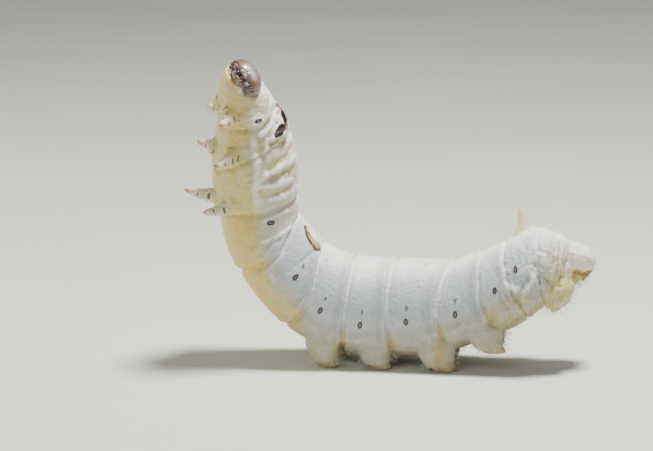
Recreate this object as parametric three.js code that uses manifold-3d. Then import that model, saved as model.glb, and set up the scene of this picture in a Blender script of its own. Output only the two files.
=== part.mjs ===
// A full-grown silkworm larva, front half raised, standing on its middle prolegs.
// Millimetres. +X runs from head to tail, +Y away from its left side, +Z up from the floor.
import * as THREE from 'three';
import Module from 'manifold-3d';

const wasm = await Module();
wasm.setup();

// Distance kept between neighbouring pieces.
const GAP = 0.3;
const SIDES = 24;
const LIMB_SIDES = 10;

// The folds between the body's rings, from the neck to the blunt end of the tail.
// x, y, z: the middle of the fold. tilt: the back's direction in the side view, from +X up to +Z.
// lean: how far the tail end swings away (+Y). roll: how far the back leans away. radius: half thickness.
const FOLDS = [
  { x: -18.3, y: -3.3, z: 36.8, tilt: -25, lean: 28, roll: 24, radius: 2.6 },
  { x: -17.9, y: -1.4, z: 32.2, tilt: 24, lean: 25, roll: 22, radius: 3.85 },
  { x: -17.2, y: 0.3, z: 26.9, tilt: 22, lean: 15, roll: 22, radius: 5.4 },
  { x: -16.4, y: 1.4, z: 20.0, tilt: 10, lean: 5, roll: 25, radius: 5.05 },
  { x: -15.3, y: 1.6, z: 15.6, tilt: 40, lean: 0, roll: 20, radius: 5.25 },
  { x: -10.7, y: 1.6, z: 10.1, tilt: 63, lean: 0, roll: 6, radius: 5.8 },
  { x: -5.1, y: 1.5, z: 7.8, tilt: 80, lean: -4, roll: 0, radius: 5.8 },
  { x: 1.0, y: 0.8, z: 7.6, tilt: 91, lean: -11, roll: 0, radius: 5.75 },
  { x: 7.4, y: -0.6, z: 7.9, tilt: 91, lean: -13, roll: 7, radius: 5.5 },
  { x: 12.2, y: -1.6, z: 9.5, tilt: 101, lean: -11, roll: 14, radius: 5.25 },
  { x: 15.1, y: -2.1, z: 10.8, tilt: 107, lean: -5, roll: 14, radius: 5.15 },
  { x: 18.1, y: -2.2, z: 12.6, tilt: 93, lean: 0, roll: 12, radius: 5.2 },
  { x: 19.9, y: -2.2, z: 12.8, tilt: 82, lean: 0, roll: 10, radius: 4.5 },
  { x: 21.6, y: -2.2, z: 13.6, tilt: 80, lean: 0, roll: 10, radius: 3.0 },
];
const SEGMENT_NAMES = [
  'prothorax', 'mesothorax', 'metathorax', 'abdomen_1', 'abdomen_2', 'abdomen_3', 'abdomen_4',
  'abdomen_5', 'abdomen_6', 'abdomen_7', 'abdomen_8', 'abdomen_9', 'anal_segment',
];
// Where the rings of one segment lie along it, and how full each is.
const RING_PLACES = [0, 0.12, 0.28, 0.5, 0.72, 0.88, 1];
const CREASE_DEPTH = 0.07;
const CREASE_SHARPNESS = 4;
const BELLY_FLATTENING = 0.05;
// The belly hangs lowest between the prolegs: by what share, where, and over what length either way.
const BELLY_SAG = { share: 0.2, along: 7, reach: 1.5 };

// Each breathing hole: how far along the body it lies and its angle from the back.
const SPIRACLES = [
  { along: 0.81, angle: 93 }, { along: 3.26, angle: 99 }, { along: 4.72, angle: 92 },
  { along: 5.46, angle: 102 }, { along: 6.36, angle: 105 }, { along: 7.32, angle: 101 },
  { along: 8.33, angle: 104 }, { along: 9.51, angle: 92 }, { along: 10.34, angle: 77 },
];
const SPIRACLE_LENGTH = 1.05;
const SPIRACLE_WIDTH = 0.66;
const SPIRACLE_RISE = 0.14;

// The jointed legs of the thorax: place along the body, and the tip of each side's leg.
const LEGS = [
  { along: 0.66, left: [-20.9, -7.0, 31.6], right: [-22.7, -2.1, 33.1] },
  { along: 1.62, left: [-21.6, -6.4, 26.4], right: [-24.0, -0.4, 28.5] },
  { along: 2.72, left: [-23.3, -2.4, 19.8], right: [-25.7, 1.1, 22.1] },
];
const LEG_ANGLE = 148;
const LEG_RADIUS = 0.85;
// Share of the way to the tip and share of the radius there: three lengths, each stepping in, and a claw.
const LEG_STEPS = [
  [0, 1.15], [0.35, 1.05], [0.52, 0.95], [0.55, 0.82], [0.72, 0.72], [0.75, 0.58], [0.9, 0.45], [1, 0.3],
];

// The soft prolegs: place along the body, half thickness at the root and the two feet.
const PROLEGS = [
  { along: 5.62, root: 2.25, left: [-7.6, -1.2, 0], right: [-6.7, 4.6, 0] },
  { along: 6.62, root: 2.25, left: [-1.1, -2.3, 0], right: [-0.5, 3.7, 0] },
  { along: 7.78, root: 2.5, left: [6.8, -3.7, 0], right: [7.2, 2.3, 0] },
  { along: 8.8, root: 2.25, left: [12.9, -4.8, 2.6], right: [13.2, 0.9, 2.4] },
];
const PROLEG_ANGLE = 146;
const FOOT_RADIUS = 1.35;
// Share of the way from the root to the foot and share of the root's thickness there.
const PROLEG_STEPS = [[0, 1], [0.3, 1], [0.55, 0.92], [0.75, 0.76], [0.9, 0.64]];
// Height of the foot's widest ring over its sole, and the least height of the soft leg above it.
const FOOT_LIFT = 0.25;
const ANKLE_LIFT = 0.4;

const rad = THREE.MathUtils.degToRad;
const vec = (x, y, z) => new THREE.Vector3(x, y, z);
const UP = vec(0, 0, 1);

// A smooth reading of one size between the folds.
function between(key, along) {
  const last = FOLDS.length - 1;
  const place = THREE.MathUtils.clamp(along, 0, last);
  const i = Math.min(Math.floor(place), last - 1);
  const t = place - i;
  const b = FOLDS[i][key];
  const c = FOLDS[i + 1][key];
  const a = i > 0 ? FOLDS[i - 1][key] : 2 * b - c;
  const d = i + 2 <= last ? FOLDS[i + 2][key] : 2 * c - b;
  return 0.5 * (2 * b + (c - a) * t + (2 * a - 5 * b + 4 * c - d) * t * t
    + (3 * b - a - 3 * c + d) * t * t * t);
}

// The body's own directions at a place along it: back, left side and tailward.
function frameAt(along) {
  const tilt = rad(between('tilt', along));
  const lean = rad(between('lean', along));
  const roll = rad(between('roll', along));
  const tail = vec(Math.sin(tilt) * Math.cos(lean), Math.sin(lean), -Math.cos(tilt) * Math.cos(lean));
  const upright = vec(Math.cos(tilt), 0, Math.sin(tilt));
  const across = upright.clone().cross(tail);
  const back = upright.clone().multiplyScalar(Math.cos(roll)).addScaledVector(across, Math.sin(roll));
  const left = upright.clone().multiplyScalar(Math.sin(roll)).addScaledVector(across, -Math.cos(roll));
  const centre = vec(between('x', along), between('y', along), between('z', along));
  return { centre, back, left, tail };
}

// The body's half thickness in one direction, swelling within each segment and pinched at its folds.
function bodyRadius(along, angle) {
  const within = along - Math.floor(Math.min(along, FOLDS.length - 1.001));
  const pinch = CREASE_DEPTH * Math.abs(2 * within - 1) ** CREASE_SHARPNESS;
  const under = Math.max(0, -Math.cos(angle)) ** 2;
  const sag = BELLY_SAG.share * Math.exp(-(((along - BELLY_SAG.along) / BELLY_SAG.reach) ** 2));
  return between('radius', along) * (1.02 - pinch + (sag - BELLY_FLATTENING) * under);
}

function bodyPoint(along, angle, grow = 0) {
  const f = frameAt(along);
  const r = bodyRadius(along, angle) + grow;
  return f.centre.clone()
    .addScaledVector(f.back, r * Math.cos(angle))
    .addScaledVector(f.left, r * Math.sin(angle));
}

function bodyRing(along, grow = 0, shift = 0) {
  const tail = frameAt(along).tail;
  const ring = [];
  for (let i = 0; i < SIDES; i += 1) {
    ring.push(bodyPoint(along, (2 * Math.PI * i) / SIDES, grow).addScaledVector(tail, shift));
  }
  return ring;
}

// A closed skin over rings of points, each ring turning the same way, with flat fans at both ends.
function loft(rings) {
  const sides = rings[0].length;
  const points = rings.flat();
  const index = [];
  for (let r = 0; r + 1 < rings.length; r += 1) {
    for (let i = 0; i < sides; i += 1) {
      const a = r * sides + i;
      const b = r * sides + ((i + 1) % sides);
      index.push(a, b, b + sides, a, b + sides, a + sides);
    }
  }
  const addFan = (ring, first, flip) => {
    const middle = ring.reduce((sum, p) => sum.add(p), vec(0, 0, 0)).divideScalar(sides);
    const hub = points.push(middle) - 1;
    for (let i = 0; i < sides; i += 1) {
      const a = first + i;
      const b = first + ((i + 1) % sides);
      index.push(hub, ...(flip ? [b, a] : [a, b]));
    }
  };
  addFan(rings[0], 0, true);
  addFan(rings[rings.length - 1], (rings.length - 1) * sides, false);
  const geometry = new THREE.BufferGeometry();
  geometry.setAttribute('position', new THREE.Float32BufferAttribute(points.flatMap((p) => p.toArray()), 3));
  geometry.setIndex(index);
  return geometry;
}

function toSolid(geometry) {
  return new wasm.Manifold(new wasm.Mesh({
    numProp: 3,
    vertProperties: new Float32Array(geometry.attributes.position.array),
    triVerts: new Uint32Array(geometry.index.array),
  }));
}

// The largest closed surface of a solid, as a geometry.
function toGeometry(solid) {
  const pieces = solid.decompose();
  const largest = pieces.reduce((best, piece) => (piece.volume() > best.volume() ? piece : best));
  const mesh = largest.getMesh();
  const geometry = new THREE.BufferGeometry();
  geometry.setAttribute('position', new THREE.Float32BufferAttribute(mesh.vertProperties, 3));
  geometry.setIndex([...mesh.triVerts]);
  return geometry;
}

// A ring of points square to a direction; width runs along the side direction.
function limbRing(centre, direction, side, width, height, sides = LIMB_SIDES) {
  const axis = direction.clone().normalize();
  const across = side.clone().addScaledVector(axis, -side.dot(axis)).normalize();
  const rise = axis.clone().cross(across);
  const ring = [];
  for (let i = 0; i < sides; i += 1) {
    const angle = (2 * Math.PI * i) / sides;
    ring.push(centre.clone()
      .addScaledVector(across, width * Math.cos(angle))
      .addScaledVector(rise, height * Math.sin(angle)));
  }
  return ring;
}

// An egg-shaped closed form on three given directions and half sizes.
function egg(centre, axes, sizes, rows = 8, sides = 16) {
  const rings = [];
  for (let r = 0; r <= rows; r += 1) {
    const polar = Math.PI * (0.03 + 0.94 * (r / rows));
    rings.push(Array.from({ length: sides }, (_, i) => {
      const angle = (2 * Math.PI * i) / sides;
      return centre.clone()
        .addScaledVector(axes[0], sizes[0] * Math.sin(polar) * Math.cos(angle))
        .addScaledVector(axes[1], sizes[1] * Math.sin(polar) * Math.sin(angle))
        .addScaledVector(axes[2], -sizes[2] * Math.cos(polar));
    }));
  }
  return loft(rings);
}

const FLESH = { color: 0xeceade, roughness: 0.5 };
const PALE_LIMB = { color: 0xe6dcb4, roughness: 0.45 };
const HORN = { color: 0xe5dcae, roughness: 0.5 };
const SHELL = { color: 0x6b4a3a, roughness: 0.3 };
const DARK_SHELL = { color: 0x2a1710, roughness: 0.25 };

const model = new THREE.Group();
function addPiece(name, geometry, look) {
  const mesh = new THREE.Mesh(geometry, new THREE.MeshStandardMaterial({ ...look, metalness: 0 }));
  mesh.name = name;
  model.add(mesh);
}

// The head: its own directions, with the face toward +forward and the brow toward +brow.
const HEAD_SIZES = { width: 2.4, height: 1.95, depth: 2.05 };
const HEAD_AHEAD = 0.65;
// The head hangs a little into the neck's soft rim.
const HEAD_SHIFT = vec(0.05, 0, -0.5);
const forward = vec(0.04, -0.86, 0.5).normalize();
const browGuess = vec(0.87, 0.1, 0.48);
const brow = browGuess.addScaledVector(forward, -browGuess.dot(forward)).normalize();
const headLeft = brow.clone().cross(forward);
const neck = frameAt(0);
const headCentre = neck.centre.clone().addScaledVector(neck.tail, -HEAD_AHEAD).add(HEAD_SHIFT);
const headAxes = [headLeft, brow, forward];
const headSizes = (grow) => [HEAD_SIZES.width + grow, HEAD_SIZES.height + grow, HEAD_SIZES.depth + grow];
const headPlace = (left, up, ahead) => headCentre.clone()
  .addScaledVector(headLeft, left).addScaledVector(brow, up).addScaledVector(forward, ahead);

// Two rounded cheeks beside a shallow seam make the head capsule.
const LOBE_SPREAD = 0.58;
function headShell(grow) {
  const core = toSolid(egg(headCentre, headAxes, headSizes(grow), 9, 18));
  const lobeSizes = headSizes(grow).map((size, i) => size * [0.82, 1.03, 0.98][i]);
  return [-1, 1].reduce((solid, side) => solid.add(
    toSolid(egg(headPlace(side * LOBE_SPREAD, 0.12, -0.05), headAxes, lobeSizes, 8, 16)),
  ), core);
}

// The mouth's pieces and the eyes, each a form given in the head's own directions.
function mouthPiece(place, sizes, grow = 0, rows = 5, sides = 8) {
  return toSolid(egg(headPlace(...place), headAxes, sizes.map((size) => size + grow), rows, sides));
}
const LABRUM = { place: [0, -0.1, 2.0], sizes: [0.66, 0.32, 0.4] };
const LABIUM = { place: [0, -1.12, 1.72], sizes: [0.9, 0.46, 0.52] };
const SPINNERET = { place: [0, -1.08, 2.28], sizes: [0.14, 0.14, 0.36] };
const PALP = { place: [0.6, -0.98, 2.1], sizes: [0.2, 0.2, 0.4] };
const MANDIBLE = { place: [0.48, -0.6, 1.92], sizes: [0.38, 0.25, 0.46] };
const ANTENNA_ROOT = [1.2, -0.42, 1.62];
const ANTENNA_STEPS = [[0, 0.3], [0.3, 0.28], [0.34, 0.22], [0.6, 0.2], [0.64, 0.13], [0.9, 0.1]];
const EYE_ARC = { place: [1.95, -0.42, 1.0], radius: 0.5, dome: 0.15, count: 6 };

function antenna(side, grow) {
  const start = headPlace(side * ANTENNA_ROOT[0], ANTENNA_ROOT[1], ANTENNA_ROOT[2] - 0.3);
  const way = forward.clone().addScaledVector(headLeft, side * 0.45).normalize();
  const rings = [[-0.2, 0.34], ...ANTENNA_STEPS].map(([ahead, radius]) => limbRing(
    start.clone().addScaledVector(way, ahead + 0.3), way, headLeft, radius + grow, radius + grow,
  ));
  return toSolid(loft(rings));
}

// A low pad on the cheek with six small domes along an arc.
function eyes(side, grow) {
  const place = [side * EYE_ARC.place[0], EYE_ARC.place[1], EYE_ARC.place[2]];
  const out = headPlace(...place).sub(headCentre).normalize();
  const pad = egg(headPlace(...place), [brow, out.clone().cross(brow), out],
    [EYE_ARC.radius + 0.25 + grow, EYE_ARC.radius + 0.2 + grow, 0.45 + grow], 4, 10);
  let solid = toSolid(pad);
  const spread = out.clone().cross(brow).normalize();
  for (let i = 0; i < EYE_ARC.count && grow === 0; i += 1) {
    const angle = rad(-120 + (240 * i) / (EYE_ARC.count - 1));
    const centre = headPlace(...place)
      .addScaledVector(spread, side * EYE_ARC.radius * Math.cos(angle) * -1)
      .addScaledVector(brow, EYE_ARC.radius * Math.sin(angle))
      .addScaledVector(out, 0.3);
    solid = solid.add(toSolid(egg(centre, [brow, spread, out].map((a) => a.clone().normalize()),
      [EYE_ARC.dome, EYE_ARC.dome, EYE_ARC.dome], 3, 6)));
  }
  return solid;
}

// The whole body in one skin, swollen by the gap: what grows from the body is cut back to it.
const wholeRings = [];
for (let s = 0; s < SEGMENT_NAMES.length; s += 1) {
  RING_PLACES.slice(0, -1).forEach((place) => wholeRings.push(bodyRing(s + place, GAP)));
}
wholeRings.push(bodyRing(SEGMENT_NAMES.length, GAP));
const swollenBody = toSolid(loft(wholeRings));

// The tail's blunt end and the rounded plate over it.
const TAIL_PLATE = { centre: vec(22.9, -2.2, 14.5), sizes: [2.9, 2.5, 1.5] };
const TAIL_BULB = { centre: vec(20.7, -2.2, 12.9), sizes: [2.0, 3.5, 3.3] };
const TAIL_AXES = [vec(0.93, 0, -0.37), vec(0, 1, 0), vec(0.37, 0, 0.93)];
const tailForm = (form, grow) => toSolid(egg(form.centre, TAIL_AXES,
  form.sizes.map((size) => size + grow), 7, 16));

// A raised oval rim lying on the skin, long across the body's length.
function spiracle(along, angle) {
  const f = frameAt(along);
  const out = f.back.clone().multiplyScalar(Math.cos(angle)).addScaledVector(f.left, Math.sin(angle));
  const round = f.tail.clone().cross(out);
  return toSolid(egg(bodyPoint(along, angle, -0.1), [f.tail, round, out],
    [SPIRACLE_WIDTH / 2, SPIRACLE_LENGTH / 2, SPIRACLE_RISE + 0.1], 3, 10));
}

// Body segments, each a length of the body between two folds, with its pair of breathing holes.
const headHollow = headShell(GAP);
const segments = SEGMENT_NAMES.map((name, s) => {
  const rings = RING_PLACES.map((place, i) => {
    const atEnd = i === RING_PLACES.length - 1;
    const shift = i === 0 && s > 0 ? GAP / 2 : 0;
    return bodyRing(s + place, 0, atEnd && s + 1 < SEGMENT_NAMES.length ? -GAP / 2 : shift);
  });
  let solid = toSolid(loft(rings));
  SPIRACLES.filter((hole) => Math.floor(hole.along) === s).forEach((hole) => {
    solid = solid.add(spiracle(hole.along, rad(hole.angle)));
    solid = solid.add(spiracle(hole.along, -rad(hole.angle)));
  });
  if (s === 0) solid = solid.subtract(headHollow);
  return solid;
});

// The tail's last segment also carries the rounded end and its plate, cut clear of the segment ahead.
const last = SEGMENT_NAMES.length - 1;
const CLEARING = 0.8;
const beforeTail = toSolid(loft([
  bodyRing(last - 1, CLEARING), bodyRing(last - 0.7, CLEARING), bodyRing(last - 0.4, CLEARING),
  bodyRing(last, CLEARING, GAP / 2),
]));
segments[last] = segments[last].add(tailForm(TAIL_PLATE, 0)).add(tailForm(TAIL_BULB, 0))
  .subtract(beforeTail);
segments.forEach((solid, s) => addPiece(SEGMENT_NAMES[s], toGeometry(solid), FLESH));
const swollenTail = swollenBody.add(tailForm(TAIL_PLATE, GAP)).add(tailForm(TAIL_BULB, GAP));

// The head capsule, with hollows for the mouth's pieces, the feelers and the eyes.
const sides = { left: 1, right: -1 };
const onSide = (form, side, grow) => mouthPiece(
  [side * form.place[0], form.place[1], form.place[2]], form.sizes, grow,
);
const mandible = (side, grow) => onSide(MANDIBLE, side, grow);
const labium = (grow) => mouthPiece(LABIUM.place, LABIUM.sizes, grow)
  .add(onSide(PALP, -1, grow)).add(onSide(PALP, 1, grow))
  .add(mouthPiece(SPINNERET.place, SPINNERET.sizes, grow));
const labrum = (grow) => mouthPiece(LABRUM.place, LABRUM.sizes, grow);
let capsule = headShell(0).subtract(labrum(GAP)).subtract(labium(GAP));
Object.values(sides).forEach((side) => {
  capsule = capsule.subtract(mandible(side, GAP)).subtract(antenna(side, GAP)).subtract(eyes(side, GAP));
});
addPiece('head_capsule', toGeometry(capsule), SHELL);
addPiece('labrum', toGeometry(labrum(0)), SHELL);
addPiece('labium', toGeometry(labium(0).subtract(mandible(1, GAP)).subtract(mandible(-1, GAP))
  .subtract(labrum(GAP)).subtract(swollenBody)), PALE_LIMB);
Object.entries(sides).forEach(([name, side]) => {
  const half = toSolid(egg(headPlace(side * 2.1, 0, 2), headAxes, [2, 3, 3], 8, 16));
  const jaw = mandible(side, 0).intersect(half).subtract(labrum(GAP));
  const eyePad = eyes(side, 0).subtract(antenna(side, GAP)).subtract(swollenBody);
  addPiece(`mandible_${name}`, toGeometry(jaw), DARK_SHELL);
  addPiece(`antenna_${name}`, toGeometry(antenna(side, 0).subtract(mandible(side, GAP))), PALE_LIMB);
  addPiece(`eye_${name}`, toGeometry(eyePad), DARK_SHELL);
});

// A jointed leg: three tapering lengths with a small claw at the tip.
function jointedLeg(along, angle, tip) {
  const root = bodyPoint(along, angle, -1.4);
  const way = tip.clone().sub(root);
  const side = frameAt(along).tail;
  return toSolid(loft(LEG_STEPS.map(([share, size]) => limbRing(
    root.clone().addScaledVector(way, share), way, side, LEG_RADIUS * size, LEG_RADIUS * size,
  ))));
}

// A proleg: a soft cone from the belly down to a flat foot, square to the floor.
function proleg(along, angle, rootRadius, foot, sole) {
  const root = bodyPoint(along, angle, -rootRadius * 1.1);
  const knee = bodyPoint(along, angle, 0.2).lerp(foot, 0.25);
  const side = frameAt(along).tail;
  const rise = sole.clone().multiplyScalar(-1);
  const curve = new THREE.QuadraticBezierCurve3(root, knee, foot);
  const rings = PROLEG_STEPS.map(([share, size]) => limbRing(
    curve.getPoint(share), curve.getTangent(share), side, rootRadius * size, rootRadius * size * 0.9,
  ));
  rings.flat().forEach((point) => {
    const above = point.clone().sub(foot).dot(rise);
    point.addScaledVector(rise, Math.max(0, ANKLE_LIFT - above));
  });
  const lift = foot.clone().addScaledVector(rise, FOOT_LIFT);
  rings.push(limbRing(lift, sole, side, FOOT_RADIUS * 1.06, FOOT_RADIUS * 0.92));
  rings.push(limbRing(foot, sole, side, FOOT_RADIUS * 0.95, FOOT_RADIUS * 0.8));
  return toSolid(loft(rings));
}

const DOWN = UP.clone().multiplyScalar(-1);
Object.entries(sides).forEach(([name, side]) => {
  LEGS.forEach((leg, i) => {
    const shape = jointedLeg(leg.along, side * rad(LEG_ANGLE), vec(...leg[name]));
    addPiece(`leg_${i + 1}_${name}`, toGeometry(shape.subtract(swollenBody)), PALE_LIMB);
  });
  PROLEGS.forEach((leg, i) => {
    const shape = proleg(leg.along, side * rad(PROLEG_ANGLE), leg.root, vec(...leg[name]), DOWN);
    addPiece(`proleg_${i + 3}_${name}`, toGeometry(shape.subtract(swollenBody)), FLESH);
  });
});

// The claspers at the tail: the left hangs down, the right is stretched back under the plate.
const CLASPERS = {
  left: { angle: 138, root: 2.2, foot: vec(21.3, -4.6, 8.5), sole: vec(0.62, 0, -0.78).normalize() },
  right: { angle: -120, root: 2.0, foot: vec(24.9, 0.2, 11.7), sole: vec(0.8, 0.1, -0.6).normalize() },
};
Object.entries(CLASPERS).forEach(([name, leg]) => {
  const shape = proleg(12.35, rad(leg.angle), leg.root, leg.foot, leg.sole);
  addPiece(`anal_proleg_${name}`, toGeometry(shape.subtract(swollenTail)), FLESH);
});

// The soft horn on the eighth segment, leaning a little toward the head.
const HORN_ALONG = 10.66;
const HORN_TIP = vec(15.9, -1.7, 20.4);
const HORN_STEPS = [[0, 1.15], [0.42, 1.0], [0.5, 0.78], [0.62, 0.56], [0.8, 0.32], [0.94, 0.17], [1, 0.07]];
const HORN_RADIUS = 1.02;
const hornRoot = bodyPoint(HORN_ALONG, 0, -2);
const hornWay = HORN_TIP.clone().sub(hornRoot);
const horn = toSolid(loft(HORN_STEPS.map(([share, size]) => limbRing(
  hornRoot.clone().addScaledVector(hornWay, share), hornWay, frameAt(HORN_ALONG).tail,
  HORN_RADIUS * size, HORN_RADIUS * size,
))));
addPiece('caudal_horn', toGeometry(horn.subtract(swollenBody)), HORN);

export default model;
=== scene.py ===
# %% [markdown]
# # A full-grown silkworm
# The model is a silkworm larva about to spin: pale, plump and soft, its front half raised and its tail horn
# up. The solids come from the frame, and this lesson dresses them. One skin takes the place of all the soft
# body solids, so no seam shows between the rings of the body, and the hard parts are made apart from it:
# head shell, jaws, feelers, eyes, claws, horn, breathing holes, hooks on the feet and fine hairs.

# %% Load the frame
import math
import random

import bmesh
import bpy
import numpy as np
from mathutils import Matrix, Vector, noise


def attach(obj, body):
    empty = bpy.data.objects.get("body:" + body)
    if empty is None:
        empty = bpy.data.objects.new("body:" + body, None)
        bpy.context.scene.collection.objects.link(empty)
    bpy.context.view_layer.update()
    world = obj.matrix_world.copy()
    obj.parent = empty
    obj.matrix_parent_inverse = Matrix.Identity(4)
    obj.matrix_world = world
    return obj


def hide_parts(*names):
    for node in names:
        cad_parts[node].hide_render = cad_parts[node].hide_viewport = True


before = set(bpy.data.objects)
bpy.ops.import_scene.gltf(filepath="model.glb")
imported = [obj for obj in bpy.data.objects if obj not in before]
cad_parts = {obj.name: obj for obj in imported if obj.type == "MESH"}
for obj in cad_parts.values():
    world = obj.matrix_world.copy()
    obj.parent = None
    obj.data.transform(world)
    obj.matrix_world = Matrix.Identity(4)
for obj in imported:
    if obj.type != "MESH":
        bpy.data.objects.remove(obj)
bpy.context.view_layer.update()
MM = 0.001
print("solids to dress:", len(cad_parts))

# %% [markdown]
# ## Camera, light and floor
# The view is set first, because every later choice is judged through it. The picture looks straight at the
# animal's left side from a little above, through a long lens, so the far side is hardly smaller than the
# near one. A long lens needs a large distance, which is worked out from the width of the view.

# %% The camera
VIEW_WIDTH = 81.6 * MM
VIEW_LENS = 220.0
SENSOR = 36.0
VIEW_HEIGHT_ANGLE = math.radians(12)
AIM = Vector((-7.9, 1.6, 17.4)) * MM
NEAR_CLIP = 5 * MM

camera_data = bpy.data.cameras.new("camera")
camera_data.lens = VIEW_LENS
camera_data.sensor_width = SENSOR
camera_data.clip_start = NEAR_CLIP
camera = bpy.data.objects.new("camera", camera_data)
bpy.context.scene.collection.objects.link(camera)
toward_camera = Vector((0, -math.cos(VIEW_HEIGHT_ANGLE), math.sin(VIEW_HEIGHT_ANGLE)))
camera.location = AIM + toward_camera * (VIEW_WIDTH * VIEW_LENS / SENSOR)
camera.rotation_euler = toward_camera.to_track_quat("Z", "Y").to_euler()
bpy.context.scene.camera = camera
print("camera distance, mm:", round((camera.location - AIM).length / MM))


# %% Lights and world
LIT_POINT = Vector((-3, 0, 14)) * MM
WORLD_COLOUR = (0.86, 0.9, 0.92, 1)
WORLD_STRENGTH = 0.18


def soft_light(name, place_mm, size_mm, power, colour):
    """An area lamp that looks at the animal's middle."""
    data = bpy.data.lights.new(name, "AREA")
    data.shape = "DISK"
    data.size = size_mm * MM
    data.energy = power
    data.color = colour
    lamp = bpy.data.objects.new(name, data)
    bpy.context.scene.collection.objects.link(lamp)
    lamp.location = Vector(place_mm) * MM
    lamp.rotation_euler = (lamp.location - LIT_POINT).to_track_quat("Z", "Y").to_euler()
    return lamp


soft_light("sun_side", (50, -10, 270), 60, 1.75, (1.0, 0.98, 0.93))
soft_light("sky_fill", (-130, -230, 170), 240, 0.26, (0.93, 0.96, 1.0))
soft_light("back_glow", (-190, 90, 60), 90, 0.20, (1.0, 0.93, 0.78))

world = bpy.data.worlds.new("studio")
world.use_nodes = True
bpy.context.scene.world = world
world.node_tree.nodes["Background"].inputs["Color"].default_value = WORLD_COLOUR
world.node_tree.nodes["Background"].inputs["Strength"].default_value = WORLD_STRENGTH

# %% [markdown]
# ## Helpers for finishes
# A finish is a small network of nodes. Two classes keep it readable: `Wire` wraps a node's output so that
# plain arithmetic builds Math nodes, and `Finish` makes every other node in one place. Colours are laid one
# over another with `cover`, as a painter would, from the ground colour to the last mark.

# %% Wires and finishes
NOISE_ROUGHNESS = 0.55


class Wire:
    """A socket that can be added, scaled and compared in plain expressions."""

    def __init__(self, finish, socket):
        self.finish = finish
        self.socket = socket

    def __add__(self, other):
        return self.finish.math("ADD", self, other)

    def __radd__(self, other):
        return self.finish.math("ADD", other, self)

    def __sub__(self, other):
        return self.finish.math("SUBTRACT", self, other)

    def __rsub__(self, other):
        return self.finish.math("SUBTRACT", other, self)

    def __mul__(self, other):
        return self.finish.math("MULTIPLY", self, other)

    def __rmul__(self, other):
        return self.finish.math("MULTIPLY", other, self)

    def __truediv__(self, other):
        return self.finish.math("DIVIDE", self, other)

    def __pow__(self, other):
        return self.finish.math("POWER", self, other)

    def __abs__(self):
        return self.finish.math("ABSOLUTE", self)


class Finish:
    """A material under construction."""

    def __init__(self, name, **shader_values):
        self.material = bpy.data.materials.new(name)
        self.material.use_nodes = True
        self.tree = self.material.node_tree
        self.shader = self.tree.nodes["Principled BSDF"]
        self.colour = None
        for socket, value in shader_values.items():
            self.shader.inputs[socket.replace("_", " ")].default_value = value

    def node(self, kind, settings=None, inputs=None, out=0):
        """A node with its settings, and a value or a wire for each socket that is named."""
        made = self.tree.nodes.new(kind)
        for key, value in (settings or {}).items():
            setattr(made, key, value)
        for key, value in (inputs or {}).items():
            if isinstance(value, Wire):
                self.tree.links.new(value.socket, made.inputs[key])
            else:
                made.inputs[key].default_value = value
        return Wire(self, made.outputs[out])

    def math(self, operation, *values):
        return self.node("ShaderNodeMath", {"operation": operation}, dict(enumerate(values)))

    def place(self):
        return self.node("ShaderNodeTexCoord", out="Object")

    def read(self, attribute):
        return self.node("ShaderNodeAttribute", {"attribute_name": attribute}, out="Fac")

    def noise(self, scale, detail=3.0):
        """A cloudy pattern from 0 to 1, with its scale in blobs per metre."""
        return self.node("ShaderNodeTexNoise", {}, {
            "Vector": self.place(), "Scale": scale, "Detail": detail, "Roughness": NOISE_ROUGHNESS})

    def step(self, value, low, high):
        """0 below low, 1 above high and a soft slope between them."""
        return self.node("ShaderNodeMapRange", {"interpolation_type": "SMOOTHSTEP"}, {
            "Value": value, "From Min": low, "From Max": high})

    def mix(self, share, colour_a, colour_b):
        return self.node("ShaderNodeMix", {"data_type": "RGBA"}, {0: share, 6: colour_a, 7: colour_b}, out=2)

    def cover(self, share, tint):
        """Lays a tint over the colours so far, as strongly as the share says."""
        self.colour = self.mix(share, self.colour, tint)

    def set(self, socket, wire):
        self.tree.links.new(wire.socket, self.shader.inputs[socket])

    def bump(self, height, distance_mm, strength=1.0):
        self.set("Normal", self.node("ShaderNodeBump", {}, {
            "Height": height, "Distance": distance_mm * MM, "Strength": strength}))


def paint(red, green, blue):
    return (red, green, blue, 1.0)


def frayed(value, cloud, width):
    """A value whose edges a cloudy pattern breaks up, over the width given."""
    return value + (cloud - 0.5) * width


def mottled(name, grain, dark, light, bump_mm=0.0, **shader_values):
    """A finish of two colours in a cloudy pattern, with its grain in blobs per metre."""
    made = Finish(name, **shader_values)
    cloud = made.noise(grain)
    made.set("Base Color", made.mix(cloud, dark, light))
    if bump_mm:
        made.bump(cloud, bump_mm)
    return made


# %% The floor
FLOOR_HALF = 900 * MM
FLOOR_CORNERS = ((-1, -1), (1, -1), (1, 1), (-1, 1))
floor_mesh = bpy.data.meshes.new("floor")
floor_mesh.from_pydata([(x * FLOOR_HALF, y * FLOOR_HALF, 0) for x, y in FLOOR_CORNERS], [], [(0, 1, 2, 3)])
floor = bpy.data.objects.new("floor", floor_mesh)
bpy.context.scene.collection.objects.link(floor)
floor_finish = mottled("floor_paper", 40.0, paint(0.60, 0.63, 0.58), paint(0.66, 0.68, 0.63), Roughness=0.9)
floor_mesh.materials.append(floor_finish.material)
print("floor, mm across:", round(2 * FLOOR_HALF / MM))

# %% [markdown]
# ## The body's measure
# The body is a bent tube, so every soft form is placed by two numbers: how far along the body it lies,
# counted in segments from the neck, and its angle round from the middle of the back. The folds between the
# segments are the same ones that part the solids, and a smooth curve runs through them. On a living animal
# the folds aren't flat rings: they wander along the body on the sides, which a small table keeps.

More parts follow.
